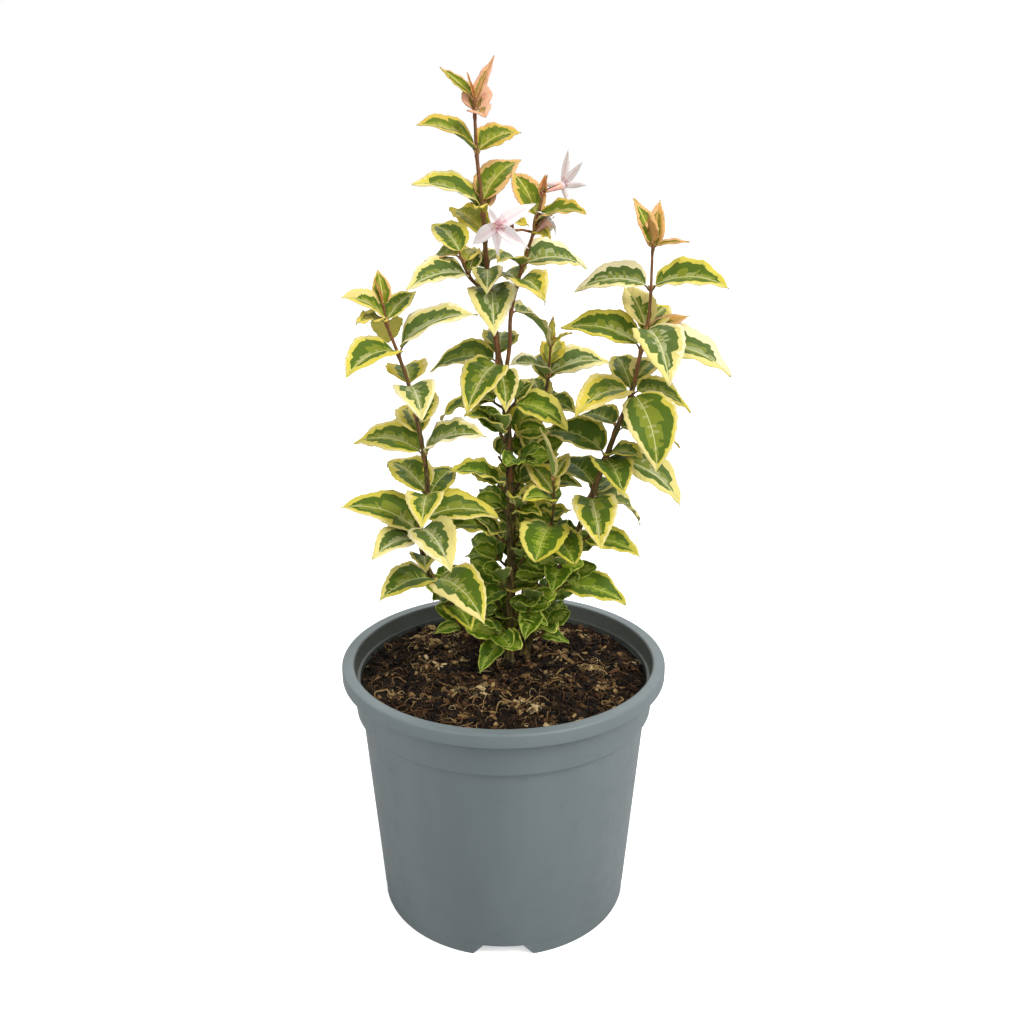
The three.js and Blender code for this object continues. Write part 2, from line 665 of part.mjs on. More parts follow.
function massStem(stem) {
  const foot = stem in LIMB_TOPS ? LIMB_TOPS[stem] + CLEAR : STEMS[stem].points[0][2];
  return stemSolid(stem, foot, STEMS[stem].points.at(-1)[2], STEM_SIDES);
}

addMass('flowering_foliage', [massStem('flowering'), ...FLOWERS.flatMap(flowerSolids)], leavesOn('flowering'));
addMass(
  'leader_foliage',
  [massStem('leader'), massStem('upperLeft')],
  [...leavesOn('leader'), ...leavesOn('upperLeft')],
);
addMass('left_foliage', [massStem('left')], leavesOn('left'));
addMass('right_foliage', [massStem('right')], leavesOn('right'));
addMass('low_foliage', [massStem('low')], leavesOn('low'));
const middleShoots = shootsOf('middle', 400, () => 0);
addMass(
  'middle_foliage',
  [massStem('middle'), ...middleShoots.map((shoot) => shoot.wood)],
  [...leavesOn('middle'), ...middleShoots.flatMap((shoot) => shoot.leaves)],
);

// The side shoots below the masses, each 0.3 mm clear of its limb
for (const [stem, seed] of [['main', 100], ['right', 200], ['left', 300]]) {
  const clearOfLimb = (height) => radiusAtHeight(stem, height) + CLEAR + TWIG_RADIUS;
  shootsOf(stem, seed, clearOfLimb).forEach((shoot, i) => {
    if (touches(shoot.room, finished)) return;
    addMass(`${stem}_shoot_${String(i + 1).padStart(2, '0')}`, [shoot.wood], shoot.leaves);
  });
}

export default group;
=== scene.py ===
from math import cos, degrees, exp, hypot, pi, radians, sin, sqrt, tau
from types import SimpleNamespace

import bmesh
import bpy
from mathutils import Matrix, Vector, noise


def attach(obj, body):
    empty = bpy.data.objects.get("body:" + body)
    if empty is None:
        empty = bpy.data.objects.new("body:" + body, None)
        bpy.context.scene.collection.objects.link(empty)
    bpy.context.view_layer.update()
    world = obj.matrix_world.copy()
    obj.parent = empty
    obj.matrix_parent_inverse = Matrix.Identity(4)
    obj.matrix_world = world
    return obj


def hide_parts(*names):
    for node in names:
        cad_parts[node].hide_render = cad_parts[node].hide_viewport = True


# A young variegated abelia shrub in its nursery pot. It is modelled in millimetres, +Z up, and scaled to
# metres as each piece is finished. Headings are in degrees from +X round to +Y, so 270 is the front.

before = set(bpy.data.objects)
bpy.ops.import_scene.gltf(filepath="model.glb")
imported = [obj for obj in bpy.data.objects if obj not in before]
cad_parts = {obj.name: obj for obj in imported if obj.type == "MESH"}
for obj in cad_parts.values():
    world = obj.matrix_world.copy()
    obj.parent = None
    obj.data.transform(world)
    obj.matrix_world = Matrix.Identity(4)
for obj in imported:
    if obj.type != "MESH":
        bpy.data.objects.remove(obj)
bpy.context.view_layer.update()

MM = 0.001
WELD = 0.002
WORD = 0xFFFFFFFF
# Seeds, or what is added to a leaf's or a shoot's own seed
BLADE_SEED = 7000
TURN_SEED = 5000
TWIG_SEED = 50
PETAL_SEED = 900
STAMEN_SEED = 950
CRUMB_SEED = 31
FIBRE_SEED = 47

# Pot
POT_SIDES = 160
RIM_RADIUS = 75
POT_HEIGHT = 121
LIP_INNER_RADIUS = 69.3
LIP_BOTTOM = 114.4
LIP_ROUND = 1.0
COLLAR_TOP_RADIUS = 70.3
COLLAR_FOOT_RADIUS = 69
COLLAR_FOOT = 98.9
COLLAR_INSIDE_RADIUS = 66.9
BODY_TOP_RADIUS = 66.5
BODY_TOP = 97.7
FOOT_RADIUS = 58.8
FOOT_HEIGHT = 6
FOOT_STEP = 0.4
WALL = 1.4
LEDGE = 114
LEDGE_RADIUS = 68.2
FLOOR_UNDER = 5.5
FLOOR_TOP = 7.5
DISC_RADIUS = 22
DISC_THICKNESS = 2
RING_WALL = 2.6
RING_INSIDE_RADIUS = FOOT_RADIUS - RING_WALL
MOULD_ROUND = 0.35
ROUNDED_ANGLE = 20
SHARP_ANGLE = 28
NOTCHES = 4
NOTCH_HEIGHT = 5.2
NOTCH_WIDTH = 27
NOTCH_TOP_WIDTH = 18
DRAIN_HOLES = 8
DRAIN_RADIUS = 5
DRAIN_CIRCLE = 40
# The heights and the radii between which the painted shade on the inside of the lip comes in
PAINTED_SHADE_HEIGHTS = (111, 112)
PAINTED_SHADE_RADII = (70.3, 69.4)

# Compost
CLEAR = 0.3
COMPOST_LEVEL = 113
COMPOST_EDGE = 111.6
COMPOST_PLAIN_RADIUS = 28
COMPOST_SIDES = 120
COMPOST_ROWS = 48
CRUMBS = 1900
CHIPS = 420
ROOTLETS = 1700
SHREDS = 380
FIBRE_STEPS = 7
# How much there is of each soil colour, from the darkest to the lightest
CRUMB_SHARES = (0.46, 0.26, 0.13, 0.07, 0.05, 0.03, 0)
CHIP_SHARES = (0, 0.2, 0.22, 0.22, 0.2, 0.11, 0.05)
ROOTLET_SHARES = (0, 0.12, 0.24, 0.22, 0.2, 0.15, 0.07)
SHRED_SHARES = (0, 0.2, 0.32, 0.26, 0.16, 0.06, 0)

# Leaves: shares are of the leaf's length
PETIOLE_SHARE = 0.09
PETIOLE_MORE = 0.6
PETIOLE_RISE = 25
STEEPEST = 80
HALF_WIDTH = 0.28
FOLD = 21
DROOP = 22
FACE_TURN = (26, 42)
CROWN_HEIGHT = 378
SMALL_LEAF = 19
BASE_CURVE = 0.6
TIP_CURVE = 1.15
ROUND_TIP_CURVE = 0.7
BLADE_THICKNESS = 0.28
BLADE_ROWS = 36
SMALL_BLADE_ROWS = 13
VEINS = 7
VEIN_LEAN = 0.42

# Stems and side shoots
FLARE = 0.55
FLARE_HEIGHT = 5
STEM_BURIED = 3
NODE_SWELL = 0.3
BARK_DEPTH = 0.09
YOUNG_HEIGHT = 250
LIMB_SIDES = 24
LIMB_PITCH = 0.9
SHOOT_SIDES = 14
SHOOT_PITCH = 1.1
TWIG_SIDES = 7
TWIG_STEPS = 5
TWIG_AGE = 0.45
STALK_SIDES = 5
BUD_LIFT = 62
TWIG_RADIUS = 0.7
TWIG_TAPER = 0.7
PAIR_GAP = 6
SECOND_LEAF = 0.9
SMALL_LEAF_BREADTH = 1.2
SMALL_LEAF_TURN = 60
LONG_LEAD = 23
LOW_SHOOTS = 170

# Each stem's radius at its foot and at its tip
STEM_RADII = {
    "main": (2.2, 1.45), "leader": (1.4, 0.55), "upperLeft": (0.8, 0.5), "flowering": (1, 0.55),
    "left": (1.6, 0.5), "right": (1.9, 0.5), "middle": (1.3, 0.45), "low": (0.9, 0.45),
}
# The places that each stem passes
STEM_PLACES = {
    "main": [(2.5, 8, 113.3), (3.5, 7, 165), (3, 6, 204), (1.7, 5, 232), (-1.3, 4, 254)],
    "leader": [
        (-1.3, 4, 254.3), (-5, 3, 286), (-6.6, 2.5, 297), (-8, 1, 319), (-10.3, 0, 342), (-11.2, -1, 364),
    ],
    "upperLeft": [(-5, 3, 286), (-13, -4, 293.5), (-17.3, -9, 303)],
    "flowering": [
        (1.3, 2.3, 253.5), (3, -2, 267), (3.5, -6, 280), (8, -9, 298.5), (13.5, -12, 315.5),
        (15.8, -13, 326),
    ],
    "left": [
        (-4, 19, 113.3), (-17, 8, 132), (-30.6, -10, 161), (-36.2, -16, 184), (-32.3, -18, 203),
        (-33.2, -19, 222), (-38.2, -20, 250), (-42.3, -20, 264), (-47, -20, 277.5), (-48, -20, 285),
    ],
    "right": [
        (10, 14.5, 113.3), (15.3, 12, 135), (28, 6, 164.5), (39, 2, 196), (49, -2, 228), (55, -4, 245),
        (58.3, -6, 264), (61, -7, 280), (61.2, -8, 307),
    ],
    "middle": [
        (5, 22, 113.3), (9.7, 25, 144), (11.6, 28, 178), (14.8, 31, 206.5), (18.8, 33, 233),
        (20.6, 34, 245.5), (21.8, 34, 262),
    ],
    "low": [(21.1, 5.8, 151), (20.9, 2, 166.6), (21.5, 0, 183), (22.5, -4, 197), (22, -5, 208)],
}

# The leaves that show, each as (height of its node, heading, length, lift, age). A leaf that isn't of the
# common shape also has its breadth, where 1 is common, and its roll: degrees further to the front.
LEAVES = {
    "leader": [
        (256, 246, 34, -3, "grown"), (257, 162, 32, 12, "old"), (254.5, 280, 24, -17, "grown"),
        (258.5, 87, 28, 36, "old"), (286, 273, 37, 6, "pale"), (284, 90, 26, 24, "old"),
        (296, 126, 14, 42, "old"), (299, 66, 16, 27, "grown"), (296, 273, 22, 0, "pale"),
        (309, 132, 25, 45, "olive"), (309, 315, 24, 33, "olive"), (319, 210, 32, 42, "grown"),
        (322, 45, 28, 60, "fresh"), (319, 87, 16, 57, "tip", 1.2), (319, 258, 14, 24, "olive"),
        (342, 213, 28, 42, "fresh"), (342, 33, 22, 42, "fresh"), (357, 291, 14, 9, "tip", 1.3),
        (357, 72, 15, 66, "tip", 1.5), (363, 160, 17.5, 41, "fresh", 0.5), (360, 30, 19.5, 68, "tip", 0.5),
        (362, 200, 10, 78, "bud", 0.45),
    ],
    "upperLeft": [
        (293.5, 219, 30, 15, "pale"), (295, 72, 15, 48, "grown"), (302.5, 123, 24, 48, "grown", 1.1),
        (302, 135, 24, 5, "fresh"), (299.5, 69, 16, 32, "olive"),
    ],
    "flowering": [
        (280, 48, 28, -12, "pale"), (291, 288, 30, 15, "broad"), (291, 105, 28, 21, "grown"),
        (298, 27, 30, 21, "pale"), (298, 246, 22, 27, "old"), (312, 305, 11, 5, "olive"),
        (315, 321, 24, 30, "fresh"), (316.5, 117, 26, 57, "fresh", 0.8), (325, 60, 9, 75, "bud", 0.6),
    ],
    "left": [
        (161, 231, 32, 24, "old"), (161, 309, 38, 15, "grown"), (173, 273, 24, 27, "grown"),
        (184, 183, 36, 48, "grown"), (182.5, 240, 32, 21, "pale", 0.9), (187, 297, 34, 12, "pale"),
        (191, 15, 34, 24, "grown"), (203, 270, 28, 12, "grown"), (203, 132, 30, 39, "grown"),
        (200, 63, 26, 39, "old"), (221, 156, 34, 27, "grown"), (221, 333, 32, 45, "pale"),
        (229, 114, 26, 39, "broad"), (233.5, 75, 22, 48, "grown"), (250, 285, 30, 9, "pale"),
        (250, 99, 28, 30, "broad", 1.15), (264, 237, 32, 15, "grown"), (264, 342, 38, 48, "pale", 0.9),
        (277, 225, 24, 48, "broad", 1, 30), (277, 57, 21, 42, "grown", 0.85), (277, 231, 16, 21, "olive"),
        (277, 96, 22, -9, "olive", 1.15), (283, 110, 15, 80, "fresh", 0.95),
        (284, 210, 10, 75, "bud", 0.45),
    ],
    "right": [
        (196, 273, 34, 3, "grown"), (196, 33, 33, -6, "pale"), (197.5, 54, 18, 26, "old"),
        (201, 120, 28, 33, "old"), (214, 345, 38, 0, "pale"), (214, 279, 30, 9, "old"),
        (215.5, 309, 22, 30, "old"), (216, 141, 35, 33, "old"), (228, 24, 34, 6, "old"),
        (229.5, 126, 24, 21, "old"), (245, 222, 34, 15, "broad"), (245, 21, 30, 3, "grown"),
        (245, 297, 36, -27, "grown", 1.1), (245, 105, 26, 48, "grown"), (249.5, 50, 20, 39, "broad"),
        (264, 168, 34, 36, "grown"), (264, 351, 38, 9, "pale"), (272, 282, 36, -3, "pale", 1.1),
        (272, 114, 25, 57, "broad"), (269, 54, 24, 46, "broad"), (266, 10, 22, 42, "amber", 0.8),
        (289, 159, 32, 21, "pale"), (289, 333, 32, 27, "grown"), (306, 150, 19.5, 72, "fresh", 0.75),
        (304, 65, 20, 80, "amber", 0.7), (306, 320, 16, 14, "amber", 0.55),
        (307, 240, 12, 78, "amber", 0.8),
    ],
    "middle": [
        (219.5, 258, 28, 14, "grown"), (218, 63, 22, -15, "old"), (231, 105, 25, 42, "grown"),
        (228, 66, 25, 31, "old"), (231, 246, 30, 9, "old"), (232.5, 306, 22, 18, "old"),
        (245, 231, 27, 39, "pale"), (245, 21, 32, 30, "pale"), (242, 93, 24, 45, "grown"),
        (249.5, 75, 22, 47, "olive"), (261, 290, 12, 80, "olive", 0.6), (258, 75, 14, 78, "bud", 0.5),
        (259.5, 315, 14, 39, "olive", 0.8),
    ],
    "low": [
        (183, 258, 30, 12, "edged", 1.25), (180, 288, 26, 9, "edged", 1.1), (183, 126, 20, 15, "edged"),
        (195, 228, 22, 36, "edged"), (198.5, 132, 22, 51, "broad"), (206, 63, 19, 33, "broad", 0.7),
        (206.5, 224, 24, 80, "broad", 0.6),
    ],
}

# Opposite side shoots up a stem: the shoots' lengths and the small leaves' lengths, low and high, the seed
# of the first shoot, and a row for each pair, which is the (height, heading, length, lift) of the leaf under
# its first shoot
SHOOT_RUNS = {
    "main": {
        "shoots": (9, 4), "small": (15, 13), "seed": 100,
        "pairs": [
            (126, 236, 21, -8), (138, 148, 18, 10), (150, 230, 20, 10), (162, 146, 22, 15),
            (175, 207, 32, 39), (187, 126, 22, 33), (199, 216, 30, 45), (211, 140, 14, 30),
            (223, 222, 26, 51), (238, 156, 30, 3),
        ],
    },
    "right": {
        "shoots": (9, 6), "small": (14, 14), "seed": 200,
        "pairs": [
            (124, 350, 15, 5), (137, 74, 22, 5), (150, 348, 32, 12), (162, 78, 24, 10), (175, 348, 27, 9),
        ],
    },
    "left": {
        "shoots": (7, 6), "small": (14, 14), "seed": 300,
        "pairs": [(130, 200, 14, 12), (146, 290, 24, 15)],
    },
    "middle": {
        "shoots": (7, 5), "small": (14, 15), "seed": 400,
        "pairs": [
            (158, 75, 22, 5), (170, 165, 22, 10), (182, 78, 24, 15), (194, 165, 25, 20), (206, 80, 26, 25),
        ],
    },
}
# The leaves that two of the side shoots grow without, by the shoot's seed, so that gaps there stay open
LEFT_BARE = {112: (2, 3), 114: (0, 2, 3)}

# Flowers: where the petals meet, the way that they face, the way that the tube runs, where the stalk leaves
# its stem, the tube's length and its radius at the mouth, how wide the petals are, and the petals as (turn
# round the face, length)
FLOWERS = [
    {
        "heart": (-1.4, -32, 315.8),
        "faces": (245, 10),
        "runs": (245, 10),
        "held": (12.4, -10.8, 312.6),
        "tube": 13,
        "mouth": 1.6,
        "width": 0.34,
        "petals": [(36, 16), (130, 10.5), (207, 15), (266, 11.5), (326, 14)],
    },
    {
        "heart": (24.2, -5, 330.7),
        "faces": (72, 5),
        "runs": (42, 14),
        "held": (15.5, -12.8, 324.5),
        "tube": 12,
        "mouth": 1.7,
        "width": 0.25,
        "petals": [(105, 14.5), (136, 13.3), (178, 11.3), (247, 9), (5, 9.5)],
    },
    {
        "heart": (18.5, -13, 317.5),
        "faces": (20, 40),
        "runs": (20, 40),
        "held": (11, -10.6, 308),
        "tube": 8,
        "mouth": 3.2,
        "width": 0.6,
        "petals": [(20, 6), (95, 6), (165, 6), (240, 6.5), (310, 7)],
    },
]
PETAL_BACK = 12
PETAL_ROOT = 0.9
PETAL_COLUMNS = 8
PETAL_ROWS = 18
PETAL_WIDEST = 0.45
PETAL_THICKNESS = 0.22
FUNNEL_SIDES = 14
SEPALS = [(-50, 10), (50, -10), (10, 45)]
SEPAL_LENGTH = 8
SEPAL_ROWS = 6


def bearing(heading, lift):
    """The way that a heading and a lift give, both in degrees."""
    level = cos(radians(lift))
    return Vector((level * cos(radians(heading)), level * sin(radians(heading)), sin(radians(lift))))


def mix(low, high, share):
    return low + (high - low) * share


def draws(seed):
    """Seeded draws from 0 to 1, the same ones as in the part's source."""
    state = seed

    def draw():
        nonlocal state
        state = (state + 0x6D2B79F5) & WORD
        mixed = ((state ^ (state >> 15)) * (state | 1)) & WORD
        mixed ^= (mixed + (((mixed ^ (mixed >> 7)) * (mixed | 61)) & WORD)) & WORD
        return (mixed ^ (mixed >> 14)) / (WORD + 1)

    return draw


def stem_place(stem, share):
    """A place on a stem's centre line, at a share of its run of points."""
    points = [Vector(point) for point in STEM_PLACES[stem]]
    run = share * (len(points) - 1)
    i = min(int(run), len(points) - 2)
    t = run - i
    here, there = points[i], points[i + 1]
    before = points[i - 1] if i > 0 else 2 * here - there
    after = points[i + 2] if i + 2 < len(points) else 2 * there - here
    return 0.5 * (
        2 * here
        + (there - before) * t
        + (2 * before - 5 * here + 4 * there - after) * t * t
        + (3 * here - before - 3 * there + after) * t * t * t
    )


def share_at_height(stem, height):
    low, high = 0.0, 1.0
    for _ in range(30):
        middle = (low + high) / 2
        if stem_place(stem, middle).z < height:
            low = middle
        else:
            high = middle
    return low


def place_at_height(stem, height):
    return stem_place(stem, share_at_height(stem, height))


def radius_at_height(stem, height):
    return mix(*STEM_RADII[stem], share_at_height(stem, height))


# Finishes

def shade(code):
    """A colour given as six hex digits, as Blender's linear colour."""
    channels = []
    for i in (0, 2, 4):
        value = int(code[i:i + 2], 16) / 255
        channels.append(value / 12.92 if value <= 0.04045 else ((value + 0.055) / 1.055) ** 2.4)
    return (*channels, 1)


class Finish:
    """A node material in the making. wire() adds a node whose inputs are values or other sockets."""

    def __init__(self, name, colour, roughness, specular):
        self.material = bpy.data.materials.new(name)
        self.material.use_nodes = True
        self.tree = self.material.node_tree
        self.shader = self.tree.nodes["Principled BSDF"]
        self.shader.inputs["Base Color"].default_value = shade(colour)
        self.shader.inputs["Roughness"].default_value = roughness
        self.shader.inputs["Specular IOR Level"].default_value = specular

    def wire(self, kind, inputs=None, out=0, **settings):
        node = self.tree.nodes.new(kind)
        for key, value in settings.items():
            setattr(node, key, value)
        for key, value in (inputs or {}).items():
            if isinstance(value, bpy.types.NodeSocket):
                self.tree.links.new(value, node.inputs[key])
            else:
                node.inputs[key].default_value = value
        return node.outputs[out]

    def place(self, stretch=(1, 1, 1)):
        where = self.wire("ShaderNodeTexCoord", out=3)
        return self.wire("ShaderNodeMapping", {"Vector": where, "Scale": stretch})

    def grain(self, size, detail=4, stretch=(1, 1, 1), rough=0.55):
        """Noise whose features are about size metres across."""
        return self.wire("ShaderNodeTexNoise", {
            "Vector": self.place(stretch), "Scale": 1 / size, "Detail": detail, "Roughness": rough,
        })

    def math(self, operation, first, second=0.0):
        return self.wire("ShaderNodeMath", {0: first, 1: second}, operation=operation)

    def ramp(self, amount, stops):
        """Colours by amount, with stops as (amount, colour)."""
        colours = self.wire("ShaderNodeValToRGB", {0: amount})
        bands = colours.node.color_ramp.elements
        while len(bands) < len(stops):
            bands.new(0.5)
        for band, (position, colour) in zip(bands, stops):
            band.position = position
            band.color = shade(colour)
        return colours

    def blend(self, share, first, second, way="MIX"):
        node = self.tree.nodes.new("ShaderNodeMix")
        node.data_type = "RGBA"
        node.blend_type = way
        for socket, value in ((node.inputs[0], share), (node.inputs[6], first), (node.inputs[7], second)):
            if isinstance(value, bpy.types.NodeSocket):
                self.tree.links.new(value, socket)
            else:
                socket.default_value = value
        return node.outputs[2]

    def join(self, socket, value):
        self.tree.links.new(value, self.shader.inputs[socket])

    def emboss(self, *layers):
        """Puts bump layers, each as (height, depth, strength), one over another."""
        normal = None
        for height, depth, strength in layers:
            inputs = {"Height": height, "Distance": depth, "Strength": strength}
            if normal:
                inputs["Normal"] = normal
            normal = self.wire("ShaderNodeBump", inputs)
        self.join("Normal", normal)

    def height(self):
        """The height of the place that is coloured."""
        return self.wire("ShaderNodeSeparateXYZ", {0: self.place()}, out=2)

    def radius(self):
        """How far the place that is coloured is from the upright axis."""
        return self.wire("ShaderNodeVectorMath", {0: self.place((1, 1, 0))}, out=1, operation="LENGTH")

    def band(self, value, none, full):
        """0 to 1 as a value in metres goes from none to full, which are in millimetres."""
        limits = {"From Min": none * MM, "From Max": full * MM}
        return self.wire("ShaderNodeMapRange", {"Value": value, **limits})

    def spread(self, value, low, high):
        """A grain's 0.3 to 0.7 spread over low to high."""
        return self.wire("ShaderNodeMapRange", {
            "Value": value, "From Min": 0.3, "From Max": 0.7, "To Min": low, "To Max": high,
        })


def leaf_finish(name, colour, roughness):
    """A leaf's skin: fine cells, and side veins that run out from the midrib towards the tip."""
    finish = Finish(name, colour, roughness, specular=0.14)
    across = finish.wire("ShaderNodeSeparateXYZ", {0: finish.wire("ShaderNodeUVMap", uv_map="blade")})
    along = across.node.outputs[1]
    out = finish.math("ABSOLUTE", finish.math("SUBTRACT", across, 0.5))
    run = finish.math("SUBTRACT", along, finish.math("MULTIPLY", out, VEIN_LEAN))
    run = finish.math("MULTIPLY", run, VEINS)
    vein = finish.math("POWER", finish.math("MULTIPLY", finish.math("PINGPONG", run, 0.5), 2.0), 0.45)
    cells = finish.grain(0.0007, detail=3)
    puckers = finish.grain(0.004, detail=2)
    finish.emboss((vein, 0.0003, 0.55), (puckers, 0.0007, 0.5), (cells, 0.00008, 0.5))
    finish.join("Roughness", finish.spread(puckers, roughness - 0.06, roughness + 0.1))
    return finish.material


def petal_finish(name, colour):
    finish = Finish(name, colour, 0.55, specular=0.3)
    veins = finish.grain(0.0012, detail=3, stretch=(1, 1, 0.35))
    finish.emboss((veins, 0.0002, 0.5))
    return finish.material


def bark_finish(name, colour, roughness):
    """Thin bark with fissures up the stem."""
    finish = Finish(name, colour, roughness, specular=0.35)
    fissures = finish.grain(0.0006, detail=5, stretch=(1, 1, 0.18))
    flecks = finish.grain(0.0003, detail=2)
    finish.emboss((fissures, 0.0002, 0.6), (flecks, 0.00006, 0.4))
    finish.join("Roughness", finish.spread(fissures, roughness - 0.1, roughness + 0.12))
    return finish.material


def crumb_finish(name, colour):
    finish = Finish(name, colour, 0.92, specular=0.2)
    finish.emboss((finish.grain(0.0005), 0.0002, 0.8))
    return finish.material


def pot_finish():
    """Moulded grey plastic: a fine satin skin, faint flow marks up the wall and a few rubbed places. The
    inside of the lip above the compost is darkened with a painted shade."""
    finish = Finish("pot_plastic", "6a7476", 0.42, specular=0.4)
    flow = finish.grain(0.05, detail=3, stretch=(1, 1, 0.3))
    rubs = finish.grain(0.009, detail=8, rough=0.7)
    tone = finish.ramp(flow, [(0.3, "646e70"), (0.5, "6a7476"), (0.7, "707a7c")])
    rubbed = finish.ramp(rubs, [(0.0, "ffffff"), (0.6, "fdfdfd"), (0.72, "eceeee"), (1.0, "dfe2e2")])
    skin = finish.grain(0.0006, detail=3)
    plastic = finish.blend(1.0, tone, rubbed, way="MULTIPLY")
    # Painted shade: the inside of the lip above the compost is darkened towards 42463f, mottled by the rubs
    # noise
    inside = finish.band(finish.height(), *PAINTED_SHADE_HEIGHTS)
    inside = finish.math("MULTIPLY", inside, finish.band(finish.radius(), *PAINTED_SHADE_RADII))
    painted_shade = finish.math("MULTIPLY", inside, finish.spread(rubs, 0.8, 1))
    finish.join("Base Color", finish.blend(painted_shade, plastic, shade("42463f")))
    finish.join("Roughness", finish.spread(rubs, 0.38, 0.5))
    finish.emboss((flow, 0.0008, 0.3), (skin, 0.00003, 0.4))
    return finish.material


def ground_finish():
    finish = Finish("compost_ground", "241b14", 0.95, specular=0.15)
    clods = finish.grain(0.0035, detail=8, rough=0.7)
    finish.join("Base Color", finish.ramp(clods, [
        (0.3, "0a0704"), (0.45, "140e08"), (0.55, "261a0f"), (0.66, "443019"), (0.8, "6c5130"),
    ]))
    finish.emboss((clods, 0.002, 0.9))
    return finish.material


# Leaf colours by age, one for each zone: the midrib, the dark and mid greens, the grey-green patches, and
# the yellow and cream of the margin
LEAF_ZONES = ("rib", "deep", "green", "grey", "yellow", "cream")
LEAF_AGES = {
    "low": ("9cac52", "4a6410", "6a7e1c", "8e983c", "929e3a", "a0aa46"),
    "bright": ("b6c05c", "628018", "869c24", "a2b040", "aab442", "bac052"),
    "edged": ("b0b85c", "4e6614", "74881f", "989f40", "bcb23c", "cec25c"),
    "old": ("b0b670", "4c6218", "727f26", "90964c", "bcb044", "cec06c"),
    "grown": ("c0c280", "52681a", "7c8628", "999c5a", "cec04c", "dccd84"),
    "broad": ("c8c680", "5a6e1e", "868e2c", "a09f56", "cebb46", "dac87a"),
    "pale": ("ced09a", "566a2c", "7e8838", "a0a472", "d9cc7c", "e8dcac"),
    "olive": ("c4b95c", "84882a", "9c9c34", "b0a84c", "ccb83e", "dac65e"),
    "fresh": ("cbbe68", "627214", "828c22", "9e9a4c", "c6aa44", "d8ac6c"),
    "amber": ("c8a45a", "7c7828", "9a8434", "b4924a", "cc9c50", "d6a872"),
    "tip": ("c48e56", "94823a", "ac8a42", "c49262", "d8a276", "deaa88"),
    "bud": ("9a562c", "8e4e28", "9e5e30", "aa6a36", "b87c3e", "c48e50"),
}
# Each finish is a colour and a roughness
LEAF_FINISHES = {
    f"{age}_{zone}": (colour, 0.5 if zone in ("deep", "green", "grey") else 0.56)
    for age, colours in LEAF_AGES.items()
    for zone, colour in zip(LEAF_ZONES, colours)
}
LEAF_FINISHES.update({
    "under_green": ("7f9448", 0.62), "under_cream": ("d4c888", 0.62), "under_olive": ("c4bc58", 0.62),
    "under_amber": ("be9050", 0.6), "under_peach": ("c79468", 0.6),
    "stalk_brown": ("6e4a2e", 0.6), "stalk_green": ("8f9450", 0.55),
})
LEAF_NAMES = list(LEAF_FINISHES)
BARK_FINISHES = {
    "bark_dark": ("352c13", 0.75), "bark_brown": ("50401c", 0.72), "bark_olive": ("5d5220", 0.7),
    "bark_tan": ("78663a", 0.72), "bark_red": ("74482a", 0.6), "bark_young": ("8e6038", 0.55),
    "bud_scale": ("a58048", 0.6),
}
BARK_NAMES = list(BARK_FINISHES)
BLOSSOM_COLOURS = {
    "petal_white": "ece2e0", "petal_blush": "e6d2d2", "petal_pink": "d6acb0", "petal_deep": "c28892",
    "tube_peach": "e6b49c", "tube_pink": "dca49c", "sepal_brown": "8c5632", "sepal_olive": "7d7036",
    "stamen": "cfc08a",
}
BLOSSOM_NAMES = list(BLOSSOM_COLOURS)
SOIL_COLOURS = {
    "soil_black": "0f0a07", "soil_dark": "1f160e", "soil_brown": "352517", "soil_rust": "533922",
    "soil_tan": "7b5f3b", "soil_straw": "967b50", "soil_cream": "b6a074",
}


# Modelling

def sheet(bm, across, along, place, finish):
    """A grid of faces, welded where corners meet. Where a face is on the grid gives its finish, and where a
    corner is gives its place."""
    made = bmesh.ops.create_grid(bm, x_segments=across, y_segments=along, size=0.5, calc_uvs=True)
    corners = made["verts"]
    for face in dict.fromkeys(face for corner in corners for face in corner.link_faces):
        middle = face.calc_center_median()
        column = int((middle.x + 0.5) * across)
        row = int((middle.y + 0.5) * along)
        face.material_index = finish(column, row)
        face.smooth = True
    for corner in corners:
        corner.co = place(round((corner.co.x + 0.5) * across), round((corner.co.y + 0.5) * along))
    bmesh.ops.remove_doubles(bm, verts=corners, dist=WELD)


def tube(bm, centres, radii, sides, finish, relief=None):
    """A closed tube through centres, which comes to a point at both ends. relief(turn, ring) scales its
    radius."""
    centres = [centres[0], *centres, centres[-1]]
    radii = [0, *radii, 0]
    last = len(centres) - 1
    rings = []
    side = Vector((1, 0, 0))
    for i, centre in enumerate(centres):
        way = (centres[min(i + 1, last)] - centres[max(i - 1, 0)]).normalized()
        if i == 0:
            way = (centres[2] - centre).normalized()
            side = Vector((0, 1, 0)) if abs(way.x) > 0.9 else side
        if i == last:
            way = (centre - centres[last - 2]).normalized()
        side = (side - way * side.dot(way)).normalized()
        rings.append((centre, side, way.cross(side), radii[i]))

    def place(column, row):
        centre, right, up, radius = rings[row]
        turn = tau * column / sides
        if relief:
            radius *= relief(turn % tau, row)
        return centre + right * (radius * cos(turn)) + up * (radius * sin(turn))

    sheet(bm, sides, last, place, finish)


def plain_tube(bm, centres, radii, sides, index):
    tube(bm, centres, radii, sides, lambda column, row: index)


def new_model():
    bm = bmesh.new()
    bm.loops.layers.uv.new("blade")
    return bm


def in_scene(name, data):
    """A new object in the scene."""
    made = bpy.data.objects.new(name, data)
    bpy.context.scene.collection.objects.link(made)
    return made


def mesh_in_scene(name, bm):
    """A new object in the scene whose mesh is the model."""
    mesh = bpy.data.meshes.new(name)
    bm.to_mesh(mesh)
    bm.free()
    return in_scene(name, mesh)


